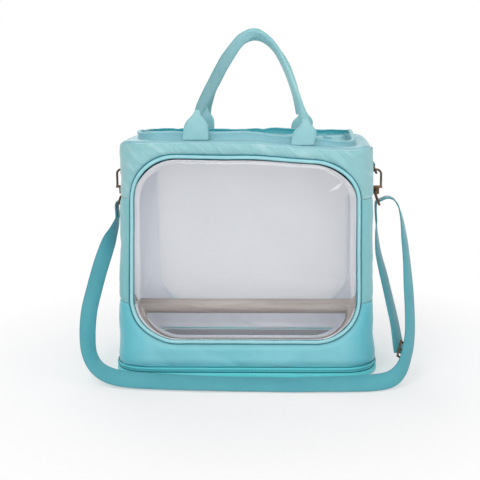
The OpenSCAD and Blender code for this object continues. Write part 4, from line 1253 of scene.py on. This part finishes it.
# %% The perch
# Each point of the profile is a place along the perch and the radius there, rounded at both ends.
PERCH_Z, PERCH_RADIUS = 0.084, 0.0115
perch_profile = [(-0.1808, 0.0), (-0.1808, 0.0098), (-0.1796, 0.0112)]
perch_profile += [(-0.177 + 0.354 * k / 24, PERCH_RADIUS) for k in range(25)]
perch_profile += [(0.1796, 0.0112), (0.1808, 0.0098), (0.1808, 0.0)]
perch_loops = []
for x, r in perch_profile:
    loop = []
    for a in turns(40):
        way = Vector((0, math.cos(a), math.sin(a)))
        uneven = 1 + 0.012 * noise.noise(Vector((x * 18, math.cos(a), math.sin(a))))
        loop.append(Vector((x, 0, PERCH_Z)) + way * r * uneven)
    perch_loops.append(loop)
perch = piece("perch_round_wood", skin(perch_loops, round_loops=True), "bag", [wood])
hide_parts("perch_dowel")
print("perch", len(perch.data.polygons), "faces")

# %% Plain moulded plastic, painted steel and bronze
def moulded(name, colour, other, rough, metal=0.0, grain=700.0, size=0.05, amount=0.5):
    """Plastic or metal with a fine grain, that drifts between two colours over that size."""
    material, n = new_material(name)
    place = n.place()
    drifted = n.call(drift, place, colour=rgb(*colour), other_colour=rgb(*other), size=size, amount=amount)
    speck = n.noise(place, grain, detail=3.0)
    dull = n.math("ADD", rough, n.math("MULTIPLY", n.math("SUBTRACT", speck, 0.5), 0.25))
    n.surface({"Base Color": drifted["Colour"], "Metallic": metal, "Roughness": dull,
               "Normal": n.bump(0.5, 0.00004, speck)})
    return material


tray_plastic = moulded("tray_plastic", (136, 138, 142), (126, 128, 132), 0.42)
board_plastic = moulded("board_plastic", (150, 152, 158), (140, 142, 148), 0.6, grain=300.0)
knob_plastic = moulded("knob_plastic", (26, 26, 28), (34, 34, 36), 0.4)
bronze = moulded("antique_bronze", (112, 92, 72), (66, 52, 42), 0.34, metal=1.0, grain=500.0, size=0.006,
                 amount=0.9)
steel = moulded("screw_steel", (176, 176, 180), (150, 150, 154), 0.3, metal=1.0, size=0.01)
painted_metal = moulded("painted_pull", (96, 170, 182), (82, 156, 170), 0.32, size=0.008)
print("plastics and metals are ready")

# %% The tray
TRAY = (0.340, 0.168, 0.034, (0, 0))
TRAY_PROFILE = [(-0.008, 0.0063), (-0.003, 0.0063), (-0.001, 0.0068), (0.0002, 0.0110), (0.0008, 0.0175),
                (0.0016, 0.0186), (0.0018, 0.0191), (0.0012, 0.0193), (0.0, 0.0191), (-0.0008, 0.0184),
                (-0.0014, 0.0120), (-0.0026, 0.0090), (-0.0046, 0.0083), (-0.010, 0.0082)]
TRAY_UNDER, TRAY_TOP = 0.0063, 0.0082
SHARES = (0.75, 0.5, 0.25, 0.08)
lip = [[Vector((x, y, z)) for x, y in grown(TRAY, out, 240)] for out, z in TRAY_PROFILE]
under = [shrunk(lip[0], share, TRAY_UNDER) for share in reversed(SHARES)]
inside = [shrunk(lip[-1 - k], share, TRAY_TOP + 0.0003 * share) for k, share in enumerate(SHARES)]
tray = piece("tray_moulded", skin(under + lip + inside, round_loops=True, caps=True), "tray", [tray_plastic])
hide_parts("waste_tray")
print("tray", len(tray.data.polygons), "faces")

# %% Webbing tabs that hold the D-rings
BAR_X, RING_Z, SLEEVE, TAB_WIDTH = 0.1896, 0.309, 0.0031, 0.023


def tab_line(sign):
    """The tab from its sewn end, down over the D-ring's bar and back up behind it."""
    spots = [(0.1888, 0.335), (0.1880, 0.3325), (0.1876, 0.326), (0.1880, 0.318), (0.1905, 0.3130)]
    spots += [(BAR_X + SLEEVE * math.cos(a), RING_Z + SLEEVE * math.sin(a))
              for a in (math.radians(d) for d in (40, 0, -45, -90, -135, -180))]
    spots += [(0.1866, 0.314), (0.1866, 0.324), (0.1866, 0.333)]
    return [(Vector((sign * x * 1000, 0, z * 1000)), (0, 1, 0)) for x, z in spots]


for side, sign in (("left", -1), ("right", 1)):
    line, widths = smooth_through(tab_line(sign), 0.0015)
    loops, run = band(line, widths, TAB_WIDTH, 0.0014)
    tab = piece(f"ring_tab_{side}_web", skin(loops, round_loops=True, caps=True), "bag", [strap_webbing])
    band_uv(tab, loops, run, TAB_WIDTH)
    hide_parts(f"ring_tab_{side}")
    cross = [Vector((sign * 0.1893, y * 0.001, z * 0.001)) for y, z in
             ((-9, 320), (9, 320), (9, 331), (-9, 331), (-9, 320), (9, 331), (9, 320), (-9, 331))]
    row(f"ring_tab_{side}_stitches", "bag", cross, [Vector((sign, 0, 0))] * len(cross), 0.0028, stitch,
        thread_pale)
print("tabs done")

# %% Better finishes for the rigid parts that stay
FINISHES = {"base_board": board_plastic, "perch_washers": steel, "perch_screw_left": steel,
            "perch_knob_right": knob_plastic, "gate_pin_left": steel, "gate_pin_right": steel,
            "top_zip_slider": painted_metal, "top_zip_pull": painted_metal, "base_zip_slider": painted_metal,
            "base_zip_pull": painted_metal, "sliding_buckle": bronze}
for side in ("left", "right"):
    for node in ("d_ring", "hook", "hook_gate", "strap_ring"):
        FINISHES[f"{node}_{side}"] = bronze
for node, material in FINISHES.items():
    for slot in bpy.data.objects[node].material_slots:
        slot.material = material
print(len(FINISHES), "rigid parts finished")

# %% [markdown]
# ## Light and floor
# A pale floor and a pale sky make a soft studio. The key lamp stands high on the left and gives
# the soft shine on the nylon. A weaker one on the right keeps the dark side readable, one in
# front lights the inside through the window, and one behind lights the back net.

# %% Floor and background
def looked_at(n):
    """1 for the rays that show the floor or the sky to the camera, 0 for those that only light things."""
    path = n.add("ShaderNodeLightPath").outputs
    return n.math("MAXIMUM", path["Is Camera Ray"], n.math("MAXIMUM", path["Is Glossy Ray"],
                                                           path["Is Transmission Ray"]))


floor_bm = bmesh.new()
bmesh.ops.create_grid(floor_bm, x_segments=1, y_segments=1, size=6)
floor_mesh = bpy.data.meshes.new("floor")
floor_bm.to_mesh(floor_mesh)
floor_bm.free()
floor = bpy.data.objects.new("floor", floor_mesh)
bpy.context.scene.collection.objects.link(floor)
ground, n = new_material("ground")
far = n.add("ShaderNodeVectorMath", {0: n.place()}, operation="LENGTH").outputs["Value"]
open_floor = n.ramp(far, 0.24, 3.2)
dull = n.add("ShaderNodeBsdfPrincipled", {"Base Color": rgb(246, 246, 247), "Roughness": 0.9,
                                          "Specular IOR Level": 0.1}).outputs[0]
white = n.add("ShaderNodeEmission", {"Color": (1, 1, 1, 1), "Strength": 1.0}).outputs[0]
share = n.math("MULTIPLY", looked_at(n), n.math("ADD", 0.35, n.math("MULTIPLY", open_floor, 0.65)))
mixed = n.add("ShaderNodeMixShader", {0: share, 1: dull, 2: white}).outputs[0]
n.add("ShaderNodeOutputMaterial", {"Surface": mixed})
floor_mesh.materials.append(ground)

world = bpy.data.worlds.new("studio")
bpy.context.scene.world = world
world.use_nodes = True
world.node_tree.nodes.clear()
n = Nodes(world.node_tree)
strength = n.math("ADD", 0.55, n.math("MULTIPLY", looked_at(n), 0.45))
sky = n.add("ShaderNodeBackground", {"Color": (1, 1, 1, 1), "Strength": strength})
n.add("ShaderNodeOutputWorld", {"Surface": sky.outputs[0]})
print("the floor and the sky are white where they are looked at, and dimmer as light")

# %% Lamps
def lamp(name, place, target, size, power):
    """A round area lamp that looks at a target, with its size in metres and its power in watts."""
    light = bpy.data.lights.new(name, "AREA")
    light.shape, light.size, light.energy = "DISK", size, power
    made = bpy.data.objects.new(name, light)
    made.location = place
    made.rotation_euler = (Vector(target) - Vector(place)).to_track_quat("-Z", "Y").to_euler()
    bpy.context.scene.collection.objects.link(made)


lamp("key", (-0.7, -1.3, 1.9), (0, 0, 0.2), 1.1, 11)
lamp("fill", (1.6, -0.9, 0.9), (0, 0, 0.2), 1.2, 5)
lamp("front", (0.2, -2.3, 0.75), (0, 0, 0.2), 1.3, 15)
lamp("back", (-0.4, 1.6, 1.6), (0, 0, 0.25), 1.2, 12)
bpy.context.scene.view_settings.view_transform = "Standard"
